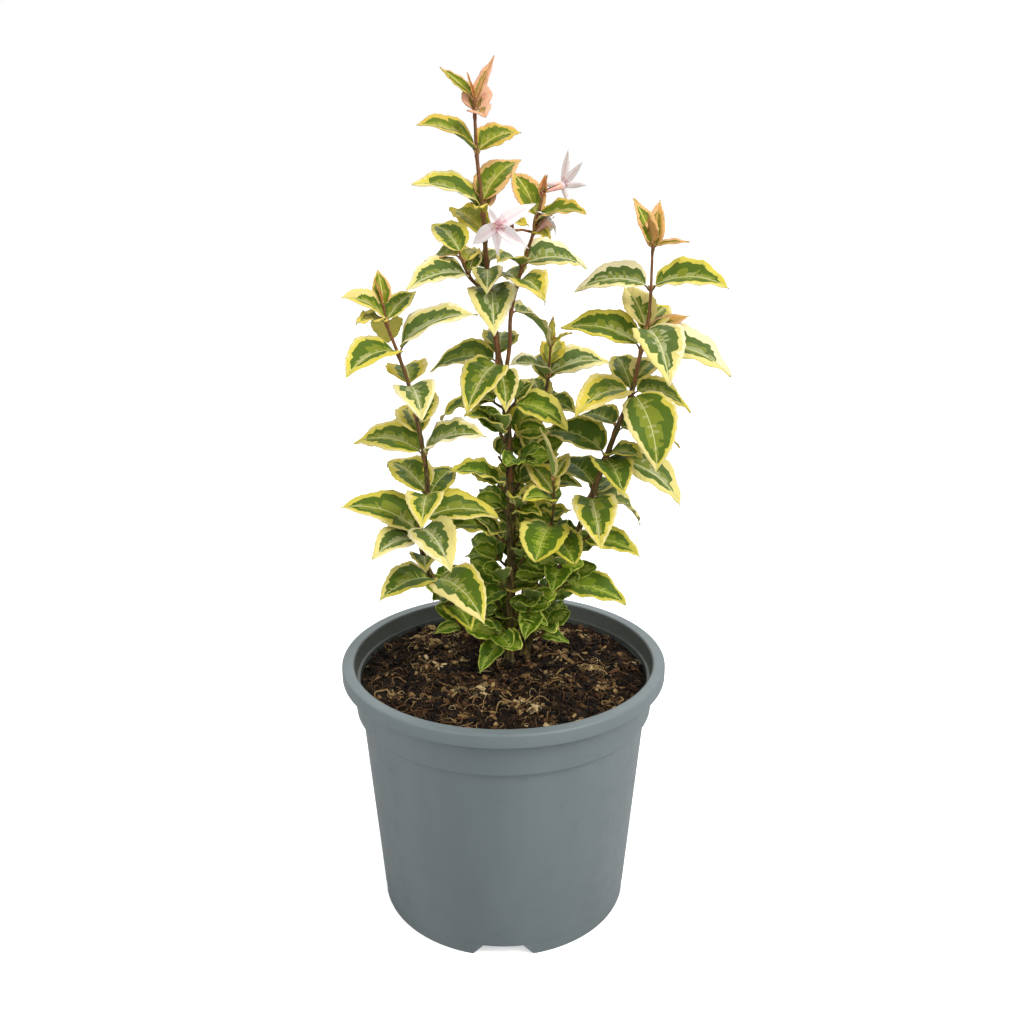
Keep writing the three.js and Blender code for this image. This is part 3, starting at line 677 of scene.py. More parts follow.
def finish_piece(name, bm, materials, nodes):
    """Turns a model into a piece of the plant in metres, which stands for its CAD nodes. Only the finishes
    that its faces use are kept on it."""
    used = sorted({face.material_index for face in bm.faces})
    for face in bm.faces:
        face.material_index = used.index(face.material_index)
    bmesh.ops.recalc_face_normals(bm, faces=bm.faces)
    bmesh.ops.scale(bm, vec=(MM, MM, MM), verts=bm.verts)
    piece = mesh_in_scene(name, bm)
    for i in used:
        piece.data.materials.append(materials[i])
    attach(piece, "root")
    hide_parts(*nodes)
    return piece


# Leaves

def outline(share, tip_curve):
    widest = BASE_CURVE / (BASE_CURVE + tip_curve)
    return ((share / widest) ** BASE_CURVE) * (((1 - share) / (1 - widest)) ** tip_curve)


def leaf_on(node, heading, length, lift, seed, age, breadth=1, turn=0):
    petiole = PETIOLE_SHARE * length + PETIOLE_MORE
    base = node + bearing(heading, min(lift + PETIOLE_RISE, STEEPEST)) * petiole
    return SimpleNamespace(
        node=node, base=base, heading=heading, length=length, lift=lift, seed=seed, age=age,
        breadth=breadth, turn=turn,
    )


def midrib(leaf, share):
    """Where the midrib is at a share of its length, with the blade's face and left side there. It starts at
    the leaf's lift and droops along an arc, straighter in a narrow leaf. The blade is rolled towards the
    front, and more so high on the plant."""
    start = radians(leaf.lift)
    droop = radians((DROOP + leaf.length) * min(1, leaf.breadth) ** 2)
    angle = start - droop * share
    level = bearing(leaf.heading, 0)
    place = leaf.base + level * (leaf.length * (sin(start) - sin(angle)) / droop)
    place.z += leaf.length * (cos(angle) - cos(start)) / droop
    normal = bearing(leaf.heading, degrees(angle) + 90)
    across = bearing(leaf.heading + 90, 0)
    high = (leaf.base.z - COMPOST_LEVEL) / (CROWN_HEIGHT - COMPOST_LEVEL)
    roll = radians(-(mix(*FACE_TURN, high) + leaf.turn) * level.x)
    face = normal * cos(roll) + across * sin(roll)
    side = across * cos(roll) - normal * sin(roll)
    return place, face, side


# How wide the margin is by age, as the least and most share of the leaf's half width
MARGINS = {
    "low": (0.02, 0.07), "bright": (0.04, 0.12), "edged": (0.1, 0.22), "old": (0.1, 0.2),
    "grown": (0.14, 0.26), "broad": (0.26, 0.42), "pale": (0.16, 0.32), "olive": (0.2, 0.4),
    "fresh": (0.12, 0.26), "amber": (0.3, 0.5), "tip": (0.3, 0.6), "bud": (0.3, 0.5),
}
# What lies between the midrib and the dark border of the green, by age and chance
INSIDES = {
    "low": (("green", "green"), ("green", "deep"), ("grey", "green"), ("deep", "deep")),
    "bright": (("green", "green"), ("grey", "green"), ("green", "grey")),
    "edged": (("green", "green"), ("grey", "green"), ("green", "deep")),
    "old": (("green", "deep"), ("green", "green"), ("grey", "green"), ("deep", "deep")),
    "grown": (
        ("grey", "green"), ("green", "green"), ("green", "deep"), ("green", "green"), ("grey", "deep"),
    ),
    "pale": (("grey", "green"), ("green", "green"), ("grey", "deep"), ("green", "grey")),
}
BLADE_LEAN = 0.1
ROUND_AGES = ("low", "bright", "edged", "olive")


def half_width(leaf, share):
    """Half the blade's width at a share of its length. The broad leaves low down are rounder."""
    tip_curve = ROUND_TIP_CURVE if leaf.age in ROUND_AGES and leaf.breadth > 1 else TIP_CURVE
    return leaf.broad * outline(min(max(share, 0), 0.9999), tip_curve) + 0.35 * (1 - share)


def leaning(share, out):
    """The rows of a blade lean towards the tip on their way out, as the side veins do."""
    return share + BLADE_LEAN * out * sin(pi * share)


def half_blade(draw, leaf, stations, margin, small):
    """The colour borders of one half of a blade, as a row for each station: shares out from the midrib, and
    the colours between them. The green runs out in lobes that lean towards the tip, and here and there the
    margin comes far in between two of them."""
    edge = ("yellow", "cream")
    if draw() >= 0.6:
        edge = ("cream", "cream") if draw() < 0.5 else ("yellow", "yellow")
    kinds = INSIDES.get(leaf.age, INSIDES["grown"])
    rows = []
    step = lobe = 0
    depth, inside = 0, kinds[0]
    for share in stations:
        half = max(half_width(leaf, leaning(share, 0.8)), 0.01)
        vein = step == lobe
        if vein:
            step = 0
            lobe = (2 if small else 4) + int(draw() * (3 if small else 5))
            depth = 0.4 + 0.2 * draw() if draw() < 0.14 else 0.06 + 0.22 * draw()
            inside = kinds[int(draw() * len(kinds))]
        step += 1
        swell = (step / lobe) ** 0.6
        rib = min(0.3, 0.3 * (1 - 0.7 * share) / half)
        margin_here = margin * leaf.broad * (0.5 + 0.5 * min(1, share / 0.25)) / half
        green = 1 - margin_here * (1 + 0.3 * (draw() - 0.5)) - depth * (1 - swell) - 0.05 * draw()
        green = min(0.95, max(rib + 0.02, green))
        yellow = mix(green, 1, 0.35 + 0.4 * draw())
        outer = mix(rib, green, 0.34 + 0.24 * swell)
        inner = mix(rib, outer, 0.3 + 0.4 * draw())
        near, far = inside if draw() < 0.7 else kinds[int(draw() * len(kinds))]
        if small:
            rows.append(((rib, outer, green, 1), (near, "deep", edge[1])))
        else:
            zones = ("grey" if vein else near, far, "deep", *edge)
            rows.append(((rib, inner, outer, green, yellow, 1), zones))
    return rows


def add_blade(bm, leaf):
    """A leaf's blade as a sheet whose columns follow the borders of its colours. It is folded along the
    midrib, its veins are pressed in, and its toothed margin waves a little."""
    length = leaf.length
    small = length < SMALL_LEAF
    draw = draws(leaf.seed + BLADE_SEED)
    rows = SMALL_BLADE_ROWS if small else BLADE_ROWS
    steps = [row / rows for row in range(rows + 1)]
    stations = [0.6 * step + 0.4 * (1 - cos(pi * step)) / 2 for step in steps]
    leaf.broad = HALF_WIDTH * leaf.breadth * length * (0.94 + 0.14 * draw())
    margin = mix(*MARGINS[leaf.age], draw())
    halves = [half_blade(draw, leaf, stations, margin * (0.8 + 0.4 * draw()), small) for _ in range(2)]
    inner = len(halves[0][0][0])
    across = 2 * inner - 1
    sweep = 0.1 * (draw() - 0.5)
    waves, phase, ripple = 2 + 2 * draw(), draw(), 0.01 + 0.014 * draw()
    if leaf.age in ROUND_AGES:
        ripple *= 3 if small else 1.8
    twist = 16 * (draw() - 0.5)
    curl = 0.25 + 0.3 * draw()
    tooth = 0.035 if small else 0.045

    def finish(column, row):
        out = abs(column - inner + 1) - 1
        zone = halves[0 if column < inner else 1][row][1][out] if out >= 0 else "rib"
        return LEAF_NAMES.index(f"{leaf.age}_{zone}")

    def place(column, row):
        left = column < inner
        step = inner - 1 - column if left else column - inner
        out = halves[0 if left else 1][row][0][step]
        share = leaning(stations[row], out)
        half = half_width(leaf, share)
        centre, face, side = midrib(leaf, share)
        turn = radians(twist * share)
        cosine, sine = cos(turn), sin(turn)
        face, side = face * cosine + side * sine, side * cosine - face * sine
        fold = radians(FOLD * (1.12 - 0.4 * share))
        reach = half * out
        if out == 1 and row % 3 == 2 and row < rows - 1:
            reach += tooth * half
        raised = reach * sin(fold) * (1 + curl * (1 - out))
        wave = waves * share + phase + (0 if left else 0.3)
        raised += ripple * length * out * out * sin(tau * wave)
        raised -= 0.016 * half * sin(tau * 6.5 * stations[row]) * sin(pi * out)
        edge = side * (reach * cos(fold) * (1 if left else -1))
        return centre + edge + face * raised + side * (sweep * length * share * share)

    sheet(bm, across, rows, place, finish)


def add_stalk(bm, leaf):
    """A leaf's stalk, which goes on under the blade as the raised back of its midrib."""
    node, base = leaf.node, leaf.base
    lift = Vector((0, 0, -0.12 * (base - node).length))
    centres = [node, node.lerp(base, 0.35) + lift, node.lerp(base, 0.75) + lift * 0.6]
    radii = [0.62, 0.5, 0.42]
    if leaf.length < SMALL_LEAF:
        radii = [0.45, 0.36, 0.3]
    for share in (0.02, 0.2, 0.45, 0.7):
        centre, face, _ = midrib(leaf, share)
        radius = radii[2] * (1 - share) * 0.85
        centres.append(centre - face * (radius * 0.8))
        radii.append(radius)
    brown, green = LEAF_NAMES.index("stalk_brown"), LEAF_NAMES.index("stalk_green")
    tube(bm, centres, radii, STALK_SIDES, lambda column, row: brown if row < 4 else green)


# The undersides of the leaves that aren't green and cream underneath, by age
UNDERSIDES = {"olive": "under_olive", "amber": "under_amber", "tip": "under_peach", "bud": "under_peach"}


def underside(label):
    """The finish under a blade where it has the labelled one on top."""
    age, _, zone = label.partition("_")
    if age in UNDERSIDES:
        return LEAF_NAMES.index(UNDERSIDES[age])
    return LEAF_NAMES.index("under_cream" if zone in ("yellow", "cream") else "under_green")


def foliage_piece(name, leaves, nodes):
    """All the leaves of a mass: the sheets first, which get their thickness and their dull undersides, then
    the stalks."""
    bm = new_model()
    for leaf in leaves:
        add_blade(bm, leaf)
    tops = list(bm.faces)
    under = bmesh.ops.solidify(bm, geom=tops, thickness=BLADE_THICKNESS)["geom"]
    undersides = [underside(label) for label in LEAF_NAMES]
    for face in under:
        if isinstance(face, bmesh.types.BMFace):
            face.material_index = undersides[face.material_index]
    for leaf in leaves:
        add_stalk(bm, leaf)
    finish_piece(name, bm, leaf_materials, nodes)


# Wood

def bark_tone(place, height_share, draw):
    """Old bark is dark and brown with tan flecks, and young wood is red-brown."""
    patch = noise.noise(Vector((place.x * 0.9, place.y * 0.9, place.z * 0.22))) + 0.5 * (draw() - 0.5)
    if height_share > 0.55:
        tones = ("bark_olive", "bark_red", "bark_red", "bark_young")
    elif height_share > 0.3:
        tones = ("bark_dark", "bark_brown", "bark_olive", "bark_red")
    else:
        tones = ("bark_dark", "bark_brown", "bark_olive", "bark_tan")
    return BARK_NAMES.index(tones[max(0, min(3, int((patch + 0.6) / 1.2 * 4)))])


def add_stem(bm, stem, low, high, sides, pitch, nodes):
    """A stem between two heights, with rings every pitch, bark relief and a swelling at each node."""
    start = share_at_height(stem, low) if low > STEM_PLACES[stem][0][2] else 0
    end = share_at_height(stem, high)
    steps = max(4, round((high - low) / pitch))
    shares = [mix(start, end, i / steps) for i in range(steps + 1)]
    centres = [stem_place(stem, share) for share in shares]
    rooted = low < COMPOST_LEVEL + 1
    if rooted:
        centres[0] = centres[0] - Vector((0, 0, STEM_BURIED))
    radii = []
    for share, centre in zip(shares, centres):
        swell = sum(exp(-(((centre.z - node) / 0.8) ** 2)) for node in nodes)
        rise = max(0, 1 - (centre.z - COMPOST_LEVEL) / FLARE_HEIGHT) if rooted else 0
        radii.append(mix(*STEM_RADII[stem], share) * (1 + NODE_SWELL * min(1, swell) + FLARE * rise * rise))
    draw = draws(round(low) + sides)

    def relief(turn, ring):
        centre = centres[min(max(ring - 1, 0), steps)]
        spot = Vector((cos(turn) * 1.6, sin(turn) * 1.6, centre.z * 0.16))
        return 1 + BARK_DEPTH * noise.noise(spot * 1.7) + BARK_DEPTH * 0.5 * noise.noise(spot * 4.1)

    def finish(column, row):
        centre = centres[min(max(row - 1, 0), steps)]
        turn = tau * column / sides
        spot = centre + Vector((cos(turn), sin(turn), 0)) * 2
        return bark_tone(spot, (centre.z - COMPOST_LEVEL) / YOUNG_HEIGHT, draw)

    tube(bm, centres, radii, sides, finish, relief)


def add_bud(bm, node, heading, size):
    """A pointed bud in a leaf's axil."""
    way = bearing(heading, BUD_LIFT)
    centres = [node + way * (TWIG_RADIUS + size * share) for share in (0, 0.25, 0.6, 0.9)]
    radii = [size * share for share in (0.14, 0.24, 0.18, 0.05)]
    plain_tube(bm, centres, radii, STALK_SIDES, BARK_NAMES.index("bud_scale"))


def add_twig(bm, start, end, seed):
    """A side shoot's twig, a little bent."""
    draw = draws(seed + TWIG_SEED)
    bend = Vector((draw() - 0.5, draw() - 0.5, 0)) * (0.08 * (end - start).length)
    shares = [i / TWIG_STEPS for i in range(TWIG_STEPS + 1)]
    centres = [start.lerp(end, share) + bend * sin(pi * share) for share in shares]
    radii = [mix(TWIG_RADIUS, TWIG_RADIUS * TWIG_TAPER, share) for share in shares]

    def finish(column, row):
        return bark_tone(centres[min(max(row - 1, 0), TWIG_STEPS)], TWIG_AGE, draw)

    tube(bm, centres, radii, TWIG_SIDES, finish)


# Side shoots

def small_age(age, seed):
    """A small leaf's age on a shoot of the given age. Some of the small leaves low down are bright."""
    return "bright" if age == "low" and seed * 7 % 10 < 3 else age


def side_shoot(start, heading, length, small, lead, seed, age):
    """A side shoot's twig and its leaves: the leaf at its foot, pairs of small leaves, and one leaf at its
    end."""
    draw = draws(seed)
    turns = draws(seed + TURN_SEED)
    lift = 25 + 30 * draw()
    way = bearing(heading, lift)
    end = start + way * length
    lead_age = "edged" if lead[0] > LONG_LEAD else age
    leaves = [leaf_on(start + way * TWIG_RADIUS, heading, *lead, seed * 20, lead_age)]

    def add_small(node, headed, size, lifted, number):
        grown = (small_age(age, number), SMALL_LEAF_BREADTH, SMALL_LEAF_TURN * turns())
        leaves.append(leaf_on(node, headed, size, lifted, number, *grown))

    pairs = max(1, round(length / PAIR_GAP))
    for k in range(1, pairs + 1):
        node = start + way * (length * k / (pairs + 0.4))
        for side in (-1, 1):
            size = small * (0.75 + 0.45 * draw())
            spread = 45 + 30 * draw()
            lifted = lift - 15 + 30 * draw()
            add_small(node, heading + side * spread, size, lifted, seed * 20 + 2 * k + side)
    size = small * (0.8 + 0.3 * draw())
    headed = heading + 20 * (draw() - 0.5)
    add_small(end - way * TWIG_RADIUS, headed, size, lift + 25 * draw(), seed * 20 + 9)
    return SimpleNamespace(start=start, end=end, seed=seed, leaves=leaves)


def shoots_of(stem, distance):
    """The side shoots of a run, which start at a distance from the stem's axis."""
    run = SHOOT_RUNS[stem]
    shoots = []
    for k, (height, heading, length, lift) in enumerate(run["pairs"]):
        share = k / (len(run["pairs"]) - 1)
        for side, across in enumerate((0, 180)):
            away = heading + across
            start = place_at_height(stem, height) + bearing(away, 0) * distance(height)
            lead = (length * SECOND_LEAF if side else length, lift)
            sizes = (mix(*run["shoots"], share), mix(*run["small"], share))
            seed = run["seed"] + 2 * k + side
            age = "low" if height < LOW_SHOOTS else ("edged", "old", "low")[(k + side) % 3]
            shoot = side_shoot(start, away, *sizes, lead, seed, age)
            bare = LEFT_BARE.get(seed, ())
            shoot.leaves = [leaf for i, leaf in enumerate(shoot.leaves) if i not in bare]
            shoots.append(shoot)
    return shoots


def leaves_on(stem):
    leaves = []
    for i, (height, heading, length, lift, age, *shape) in enumerate(LEAVES[stem]):
        seed = 1000 + 31 * i + 977 * len(stem)
        leaves.append(leaf_on(place_at_height(stem, height), heading, length, lift, seed, age, *shape))
    return leaves


# Flowers

def add_petal(bm, heart, facing, turn, length, width, seed):
    """A pointed petal that bends back, with a pink throat and a faint pink streak up its middle."""
    draw = draws(seed)
    right = Vector((0, 0, 1)).cross(facing).normalized()
    up = facing.cross(right)
    out = right * cos(radians(turn)) + up * sin(radians(turn))
    side = facing.cross(out)
    way = out * cos(radians(PETAL_BACK)) - facing * sin(radians(PETAL_BACK))
    broad = width * length * (0.9 + 0.3 * draw()) / 2
    ruffle = 0.2 + 0.2 * draw()
    phase = tau * draw()
    streak = 0.35 + 0.4 * draw()

    def place(column, row):
        share = row / PETAL_ROWS
        across = 2 * column / PETAL_COLUMNS - 1
        shape = 0.3 + 0.7 * sin(pi * min(1, share / PETAL_WIDEST) / 2)
        if share > PETAL_WIDEST:
            shape = max(0, 1 - ((share - PETAL_WIDEST) / (1 - PETAL_WIDEST)) ** 1.5)
        half = broad * shape
        cup = 0.45 * half * across * across
        wave = ruffle * across * across * sin(9 * share + phase + 1.6 * across) * min(1, 3 * share)
        back = -1.3 * share ** 3 * length / 10
        start = heart - way * PETAL_ROOT
        middle = start + way * ((length + PETAL_ROOT) * share)
        return middle + side * (half * across) + facing * (cup + wave + back)

    def finish(column, row):
        share = (row + 0.5) / PETAL_ROWS
        middle = abs(column - (PETAL_COLUMNS - 1) / 2) < 1
        if share < 0.1:
            name = "petal_deep"
        elif share < (0.3 if middle else 0.18):
            name = "petal_pink"
        elif share < (streak + 0.2 if middle else 0.3):
            name = "petal_blush"
        else:
            name = "petal_white"
        return BLOSSOM_NAMES.index(name)

    sheet(bm, PETAL_COLUMNS, PETAL_ROWS, place, finish)


def add_funnel(bm, foot, heart, mouth):
    """A flower's tube, open at its mouth."""
    way = (heart - foot).normalized()
    side = way.orthogonal().normalized()
    other = way.cross(side)
    names = ["tube_peach"] * 3 + ["tube_pink"] * 3 + ["tube_peach"] * 2 + ["petal_blush"]

    def place(column, row):
        share = row / len(names)
        turn = tau * column / FUNNEL_SIDES
        radius = mix(0.65, mouth, share ** 1.6) * (1 + 0.04 * cos(5 * turn))
        centre = foot.lerp(heart, share)
        return centre + side * (radius * cos(turn)) + other * (radius * sin(turn))

    sheet(bm, FUNNEL_SIDES, len(names), place, lambda column, row: BLOSSOM_NAMES.index(names[row]))


def add_sepal(bm, foot, heading, lift, length):
    way = bearing(heading, lift)
    side = bearing(heading + 90, 0)
    face = way.cross(side)

    def place(column, row):
        share = row / SEPAL_ROWS
        half = 0.13 * length * sin(pi * min(0.98, 0.18 + 0.8 * share))
        across = column - 1
        middle = foot + way * (length * share)
        return middle + side * (half * across) + face * (0.3 * half * across * across)

    names = ("sepal_brown", "sepal_olive")
    sheet(bm, 2, SEPAL_ROWS, place, lambda column, row: BLOSSOM_NAMES.index(names[(row + column) % 2]))


def add_stamens(bm, heart, facing, seed):
    draw = draws(seed)
    pollen = BLOSSOM_NAMES.index("stamen")
    blush = BLOSSOM_NAMES.index("petal_blush")
    right = facing.orthogonal().normalized()
    up = facing.cross(right)
    for i in range(5):
        turn = tau * (i + 0.4 * draw()) / 5
        lean = right * cos(turn) + up * sin(turn)
        reach = 2.2 + 1.4 * draw()
        start = heart - facing * 2 + lean * 0.5
        tip = heart + facing * reach + lean * (0.7 + 0.5 * draw())
        centres = [start.lerp(tip, share) for share in (0, 0.4, 0.8, 0.88, 0.95, 1)]
        radii = [0.09, 0.08, 0.08, 0.2, 0.24, 0.14]
        tube(bm, centres, radii, STALK_SIDES, lambda column, row: pollen if row > 3 else blush)


def blossom_piece():
    """The flowers: petals, tubes and sepals as sheets, which get a thickness, then stamens and stalks."""
    bm = new_model()
    for i, flower in enumerate(FLOWERS):
        heart, facing = Vector(flower["heart"]), bearing(*flower["faces"])
        foot = heart - bearing(*flower["runs"]) * flower["tube"]
        for k, (turn, length) in enumerate(flower["petals"]):
            add_petal(bm, heart, facing, turn, length, flower["width"], PETAL_SEED + 10 * i + k)
        add_funnel(bm, foot, heart, flower["mouth"])
        for turn, rise in SEPALS:
            add_sepal(bm, foot, flower["runs"][0] + turn, flower["runs"][1] + rise, SEPAL_LENGTH)
    bmesh.ops.solidify(bm, geom=list(bm.faces), thickness=PETAL_THICKNESS)
    for i, flower in enumerate(FLOWERS):
        heart, way = Vector(flower["heart"]), bearing(*flower["runs"])
        foot = heart - way * (flower["tube"] - 0.6)
        held = Vector(flower["held"])
        add_stamens(bm, heart, bearing(*flower["faces"]), STAMEN_SEED + i)
        centres = [held, held.lerp(foot, 0.5) + Vector((0, 0, 0.6)), foot, foot + way * 1.2]
        plain_tube(bm, centres, [0.6, 0.5, 0.75, 0.8], TWIG_SIDES, BLOSSOM_NAMES.index("sepal_brown"))
    finish_piece("blossom", bm, blossom_materials, ["flowering_foliage"])


# Pot and compost

def wall_radius_inside(height):
    if height >= COLLAR_FOOT:
        return COLLAR_INSIDE_RADIUS
    share = (height - FLOOR_TOP) / (BODY_TOP - FLOOR_TOP)
    return mix(FOOT_RADIUS - WALL, BODY_TOP_RADIUS - WALL, share)


def cut_away(model, cutter):
    """Takes one model out of another by a Boolean, and gives the result as a model."""
    kept, tool = mesh_in_scene("kept", model), mesh_in_scene("cutter", cutter)
    cut = kept.modifiers.new("cut", "BOOLEAN")
    cut.operation = "DIFFERENCE"
    cut.solver = "EXACT"
    cut.object = tool
    result = bmesh.new()
    result.from_object(kept, bpy.context.evaluated_depsgraph_get())
    for mesh in (kept.data, tool.data):
        bpy.data.meshes.remove(mesh)
    return result


def pot_section():
    """Half the pot's section, as (radius, height), from the middle of its underside round to the middle of
    its floor."""
    return [
        (0, 0), (DISC_RADIUS, 0), (DISC_RADIUS + 1, FLOOR_UNDER), (RING_INSIDE_RADIUS - 0.6, FLOOR_UNDER),
        (RING_INSIDE_RADIUS, 0), (FOOT_RADIUS, 0),
        (FOOT_RADIUS, FOOT_HEIGHT), (FOOT_RADIUS + FOOT_STEP, FOOT_HEIGHT),
        (BODY_TOP_RADIUS, BODY_TOP), (COLLAR_FOOT_RADIUS, COLLAR_FOOT), (COLLAR_TOP_RADIUS, LIP_BOTTOM),
        (RIM_RADIUS, LIP_BOTTOM), (RIM_RADIUS, POT_HEIGHT), (LIP_INNER_RADIUS, POT_HEIGHT),
        (LEDGE_RADIUS, LEDGE), (COLLAR_INSIDE_RADIUS, LEDGE), (COLLAR_INSIDE_RADIUS, COLLAR_FOOT),
        (wall_radius_inside(BODY_TOP), BODY_TOP), (wall_radius_inside(FLOOR_TOP), FLOOR_TOP),
        (DISC_RADIUS + 2, FLOOR_TOP), (DISC_RADIUS - 1, DISC_THICKNESS), (0, DISC_THICKNESS),
    ]


def round_edges(bm):
    """Rounds the pot's moulded edges, and the lip's more than the rest."""
    turns = [
        edge for edge in bm.edges
        if len(edge.link_faces) == 2 and abs(edge.verts[0].co.z - edge.verts[1].co.z) < WELD
        and edge.verts[0].co.xy.length > 1 and edge.calc_face_angle() > radians(ROUNDED_ANGLE)
    ]
    lip = [
        edge for edge in turns
        if edge.verts[0].co.z > POT_HEIGHT - 1 or edge.verts[0].co.xy.length > RIM_RADIUS - 1
    ]
    rest = [edge for edge in turns if edge not in lip]
    for edges, offset, segments in ((lip, LIP_ROUND, 4), (rest, MOULD_ROUND, 2)):
        bmesh.ops.bevel(
            bm, geom=[edge for edge in edges if edge.is_valid], offset=offset, segments=segments,
            affect="EDGES", profile=0.5, material=-1, offset_type="OFFSET", clamp_overlap=True,
        )


def pot_cutter():
    """What is cut out of the pot: notches in its foot ring, wider at the foot, and drain holes."""
    cutter = bmesh.new()
    foot_width = NOTCH_WIDTH * (1 + 0.4 / NOTCH_HEIGHT)
    for i in range(NOTCHES):
        made = bmesh.ops.create_cube(cutter, size=1)["verts"]
        for corner in made:
            high = corner.co.z > 0
            corner.co = Vector((
                corner.co.x * (NOTCH_TOP_WIDTH if high else foot_width),
                FOOT_RADIUS + 2 if corner.co.y > 0 else RING_INSIDE_RADIUS - 4,
                NOTCH_HEIGHT if high else -1,
            ))
        turn = Matrix.Rotation(tau * i / NOTCHES + pi, 3, "Z")
        bmesh.ops.rotate(cutter, cent=(0, 0, 0), matrix=turn, verts=made)
    for i in range(DRAIN_HOLES):
        place = bearing(360 * (i + 0.5) / DRAIN_HOLES, 0) * DRAIN_CIRCLE
        place.z = (FLOOR_UNDER + FLOOR_TOP) / 2
        bmesh.ops.create_cone(
            cutter, cap_ends=True, segments=32, radius1=DRAIN_RADIUS, radius2=DRAIN_RADIUS, depth=4,
            matrix=Matrix.Translation(place),
        )
    return cutter


def pot_piece():
    """The pot, spun from half its section. Its edges are rounded before its notches and holes are cut."""
    bm = bmesh.new()
    corners = [bm.verts.new((radius, 0, height)) for radius, height in pot_section()]
    edges = [bm.edges.new(pair) for pair in zip(corners, corners[1:])]
    bmesh.ops.spin(
        bm, geom=corners + edges, cent=(0, 0, 0), axis=(0, 0, 1), angle=tau, steps=POT_SIDES,
        use_merge=True,
    )
    bmesh.ops.remove_doubles(bm, verts=bm.verts, dist=WELD)
    bmesh.ops.recalc_face_normals(bm, faces=bm.faces)
    round_edges(bm)
    bm = cut_away(bm, pot_cutter())
    for face in bm.faces:
        face.smooth = True
        face.material_index = 0
    piece = finish_piece("pot_shell", bm, [pot_finish()], ["pot"])
    piece.data.set_sharp_from_angle(angle=radians(SHARP_ANGLE))


def compost_height(x, y):
    """The compost is level where the stems stand, lower at the wall, and lumpy all over."""
    out = hypot(x, y)
    edge = COLLAR_INSIDE_RADIUS - CLEAR
    share = max(0, (out - COMPOST_PLAIN_RADIUS) / (edge - COMPOST_PLAIN_RADIUS))
    spot = Vector((x, y, 0))
    lumps = 1.9 * noise.noise(spot * 0.09) + 1.6 * noise.noise(spot * 0.23) + 0.9 * noise.noise(spot * 0.6)
    return mix(COMPOST_LEVEL, COMPOST_EDGE, share) + lumps * min(1, (edge - out) / 4 + 0.3)


def on_compost(x, y):
    return Vector((x, y, compost_height(x, y)))


def ground_piece():
    """The compost's lumpy top, and its plain sides and bottom down in the pot."""
    edge = COLLAR_INSIDE_RADIUS - CLEAR
    down = [
        (edge, COMPOST_EDGE - 3), (edge, COLLAR_FOOT), (wall_radius_inside(BODY_TOP) - CLEAR, BODY_TOP),
        (wall_radius_inside(FLOOR_TOP) - CLEAR, FLOOR_TOP + CLEAR), (0, FLOOR_TOP + CLEAR),
    ]

    def place(column, row):
        turn = tau * (column % COMPOST_SIDES) / COMPOST_SIDES
        if row <= COMPOST_ROWS:
            out = edge * (row / COMPOST_ROWS) ** 0.8
            return on_compost(out * cos(turn), out * sin(turn))
        out, height = down[row - COMPOST_ROWS - 1]
        return Vector((out * cos(turn), out * sin(turn), height))

    bm = new_model()
    sheet(bm, COMPOST_SIDES, COMPOST_ROWS + len(down), place, lambda column, row: 0)
    finish_piece("compost_ground", bm, [ground_finish()], ["compost"])


def spot_on_compost(draw, edge=2.0):
    out = (COLLAR_INSIDE_RADIUS - edge) * sqrt(draw())
    turn = tau * draw()
    return on_compost(out * cos(turn), out * sin(turn))


def tumbled(draw, spot, rise):
    """A place over a spot on the compost, turned anyhow and tilted a little."""
    turn = Matrix.Rotation(tau * draw(), 4, "Z")
    tilts = [Matrix.Rotation(1.2 * (draw() - 0.5), 4, axis) for axis in "XY"]
    return Matrix.Translation(spot + Vector((0, 0, rise))) @ (turn @ tilts[0] @ tilts[1])


def pick(draw, shares, spot):
    """The number of a soil colour by the colours' shares. Some patches of the compost are lighter."""
    patch = 0.6 * noise.noise(spot * 0.06) + 0.45 * noise.noise(spot * 0.17)
    left = max(0, min(0.999, draw() + patch))
    number = 0
    while left >= shares[number]:
        left -= shares[number]
        number += 1
    return number


def roughen(draw, corners, shares, spot, amount):
    """Gives a crumb or a chip one soil colour, and moves its corners by up to half the amount."""
    index = pick(draw, shares, spot)
    for corner in corners:
        corner.co += Vector((draw() - 0.5, draw() - 0.5, draw() - 0.5)) * amount
        for face in corner.link_faces:
            face.material_index = index


def crumb_piece():
    """Crumbs of peat, and flat chips of bark and straw."""
    draw = draws(CRUMB_SEED)
    bm = new_model()
    for _ in range(CRUMBS):
        size = 0.45 + 1.5 * draw() ** 2
        spot = spot_on_compost(draw)
        shape = Matrix.Diagonal((size, size * (0.6 + 0.4 * draw()), size * (0.5 + 0.4 * draw()), 1))
        matrix = tumbled(draw, spot, 0.35 * size) @ shape
        made = bmesh.ops.create_icosphere(bm, subdivisions=1, radius=1, matrix=matrix)
        roughen(draw, made["verts"], CRUMB_SHARES, spot, 0.5 * size)
    for _ in range(CHIPS):
        long = 1.6 + 4.2 * draw() ** 2
        shape = Matrix.Diagonal((long, long * (0.25 + 0.35 * draw()), 0.35 + 0.4 * draw(), 1))
        spot = spot_on_compost(draw, edge=4)
        made = bmesh.ops.create_cube(bm, size=1, matrix=tumbled(draw, spot, 0.7) @ shape)
        roughen(draw, made["verts"], CHIP_SHARES, spot, 0.16 * long)
    finish_piece("compost_crumbs", bm, soil_materials, ["compost"])


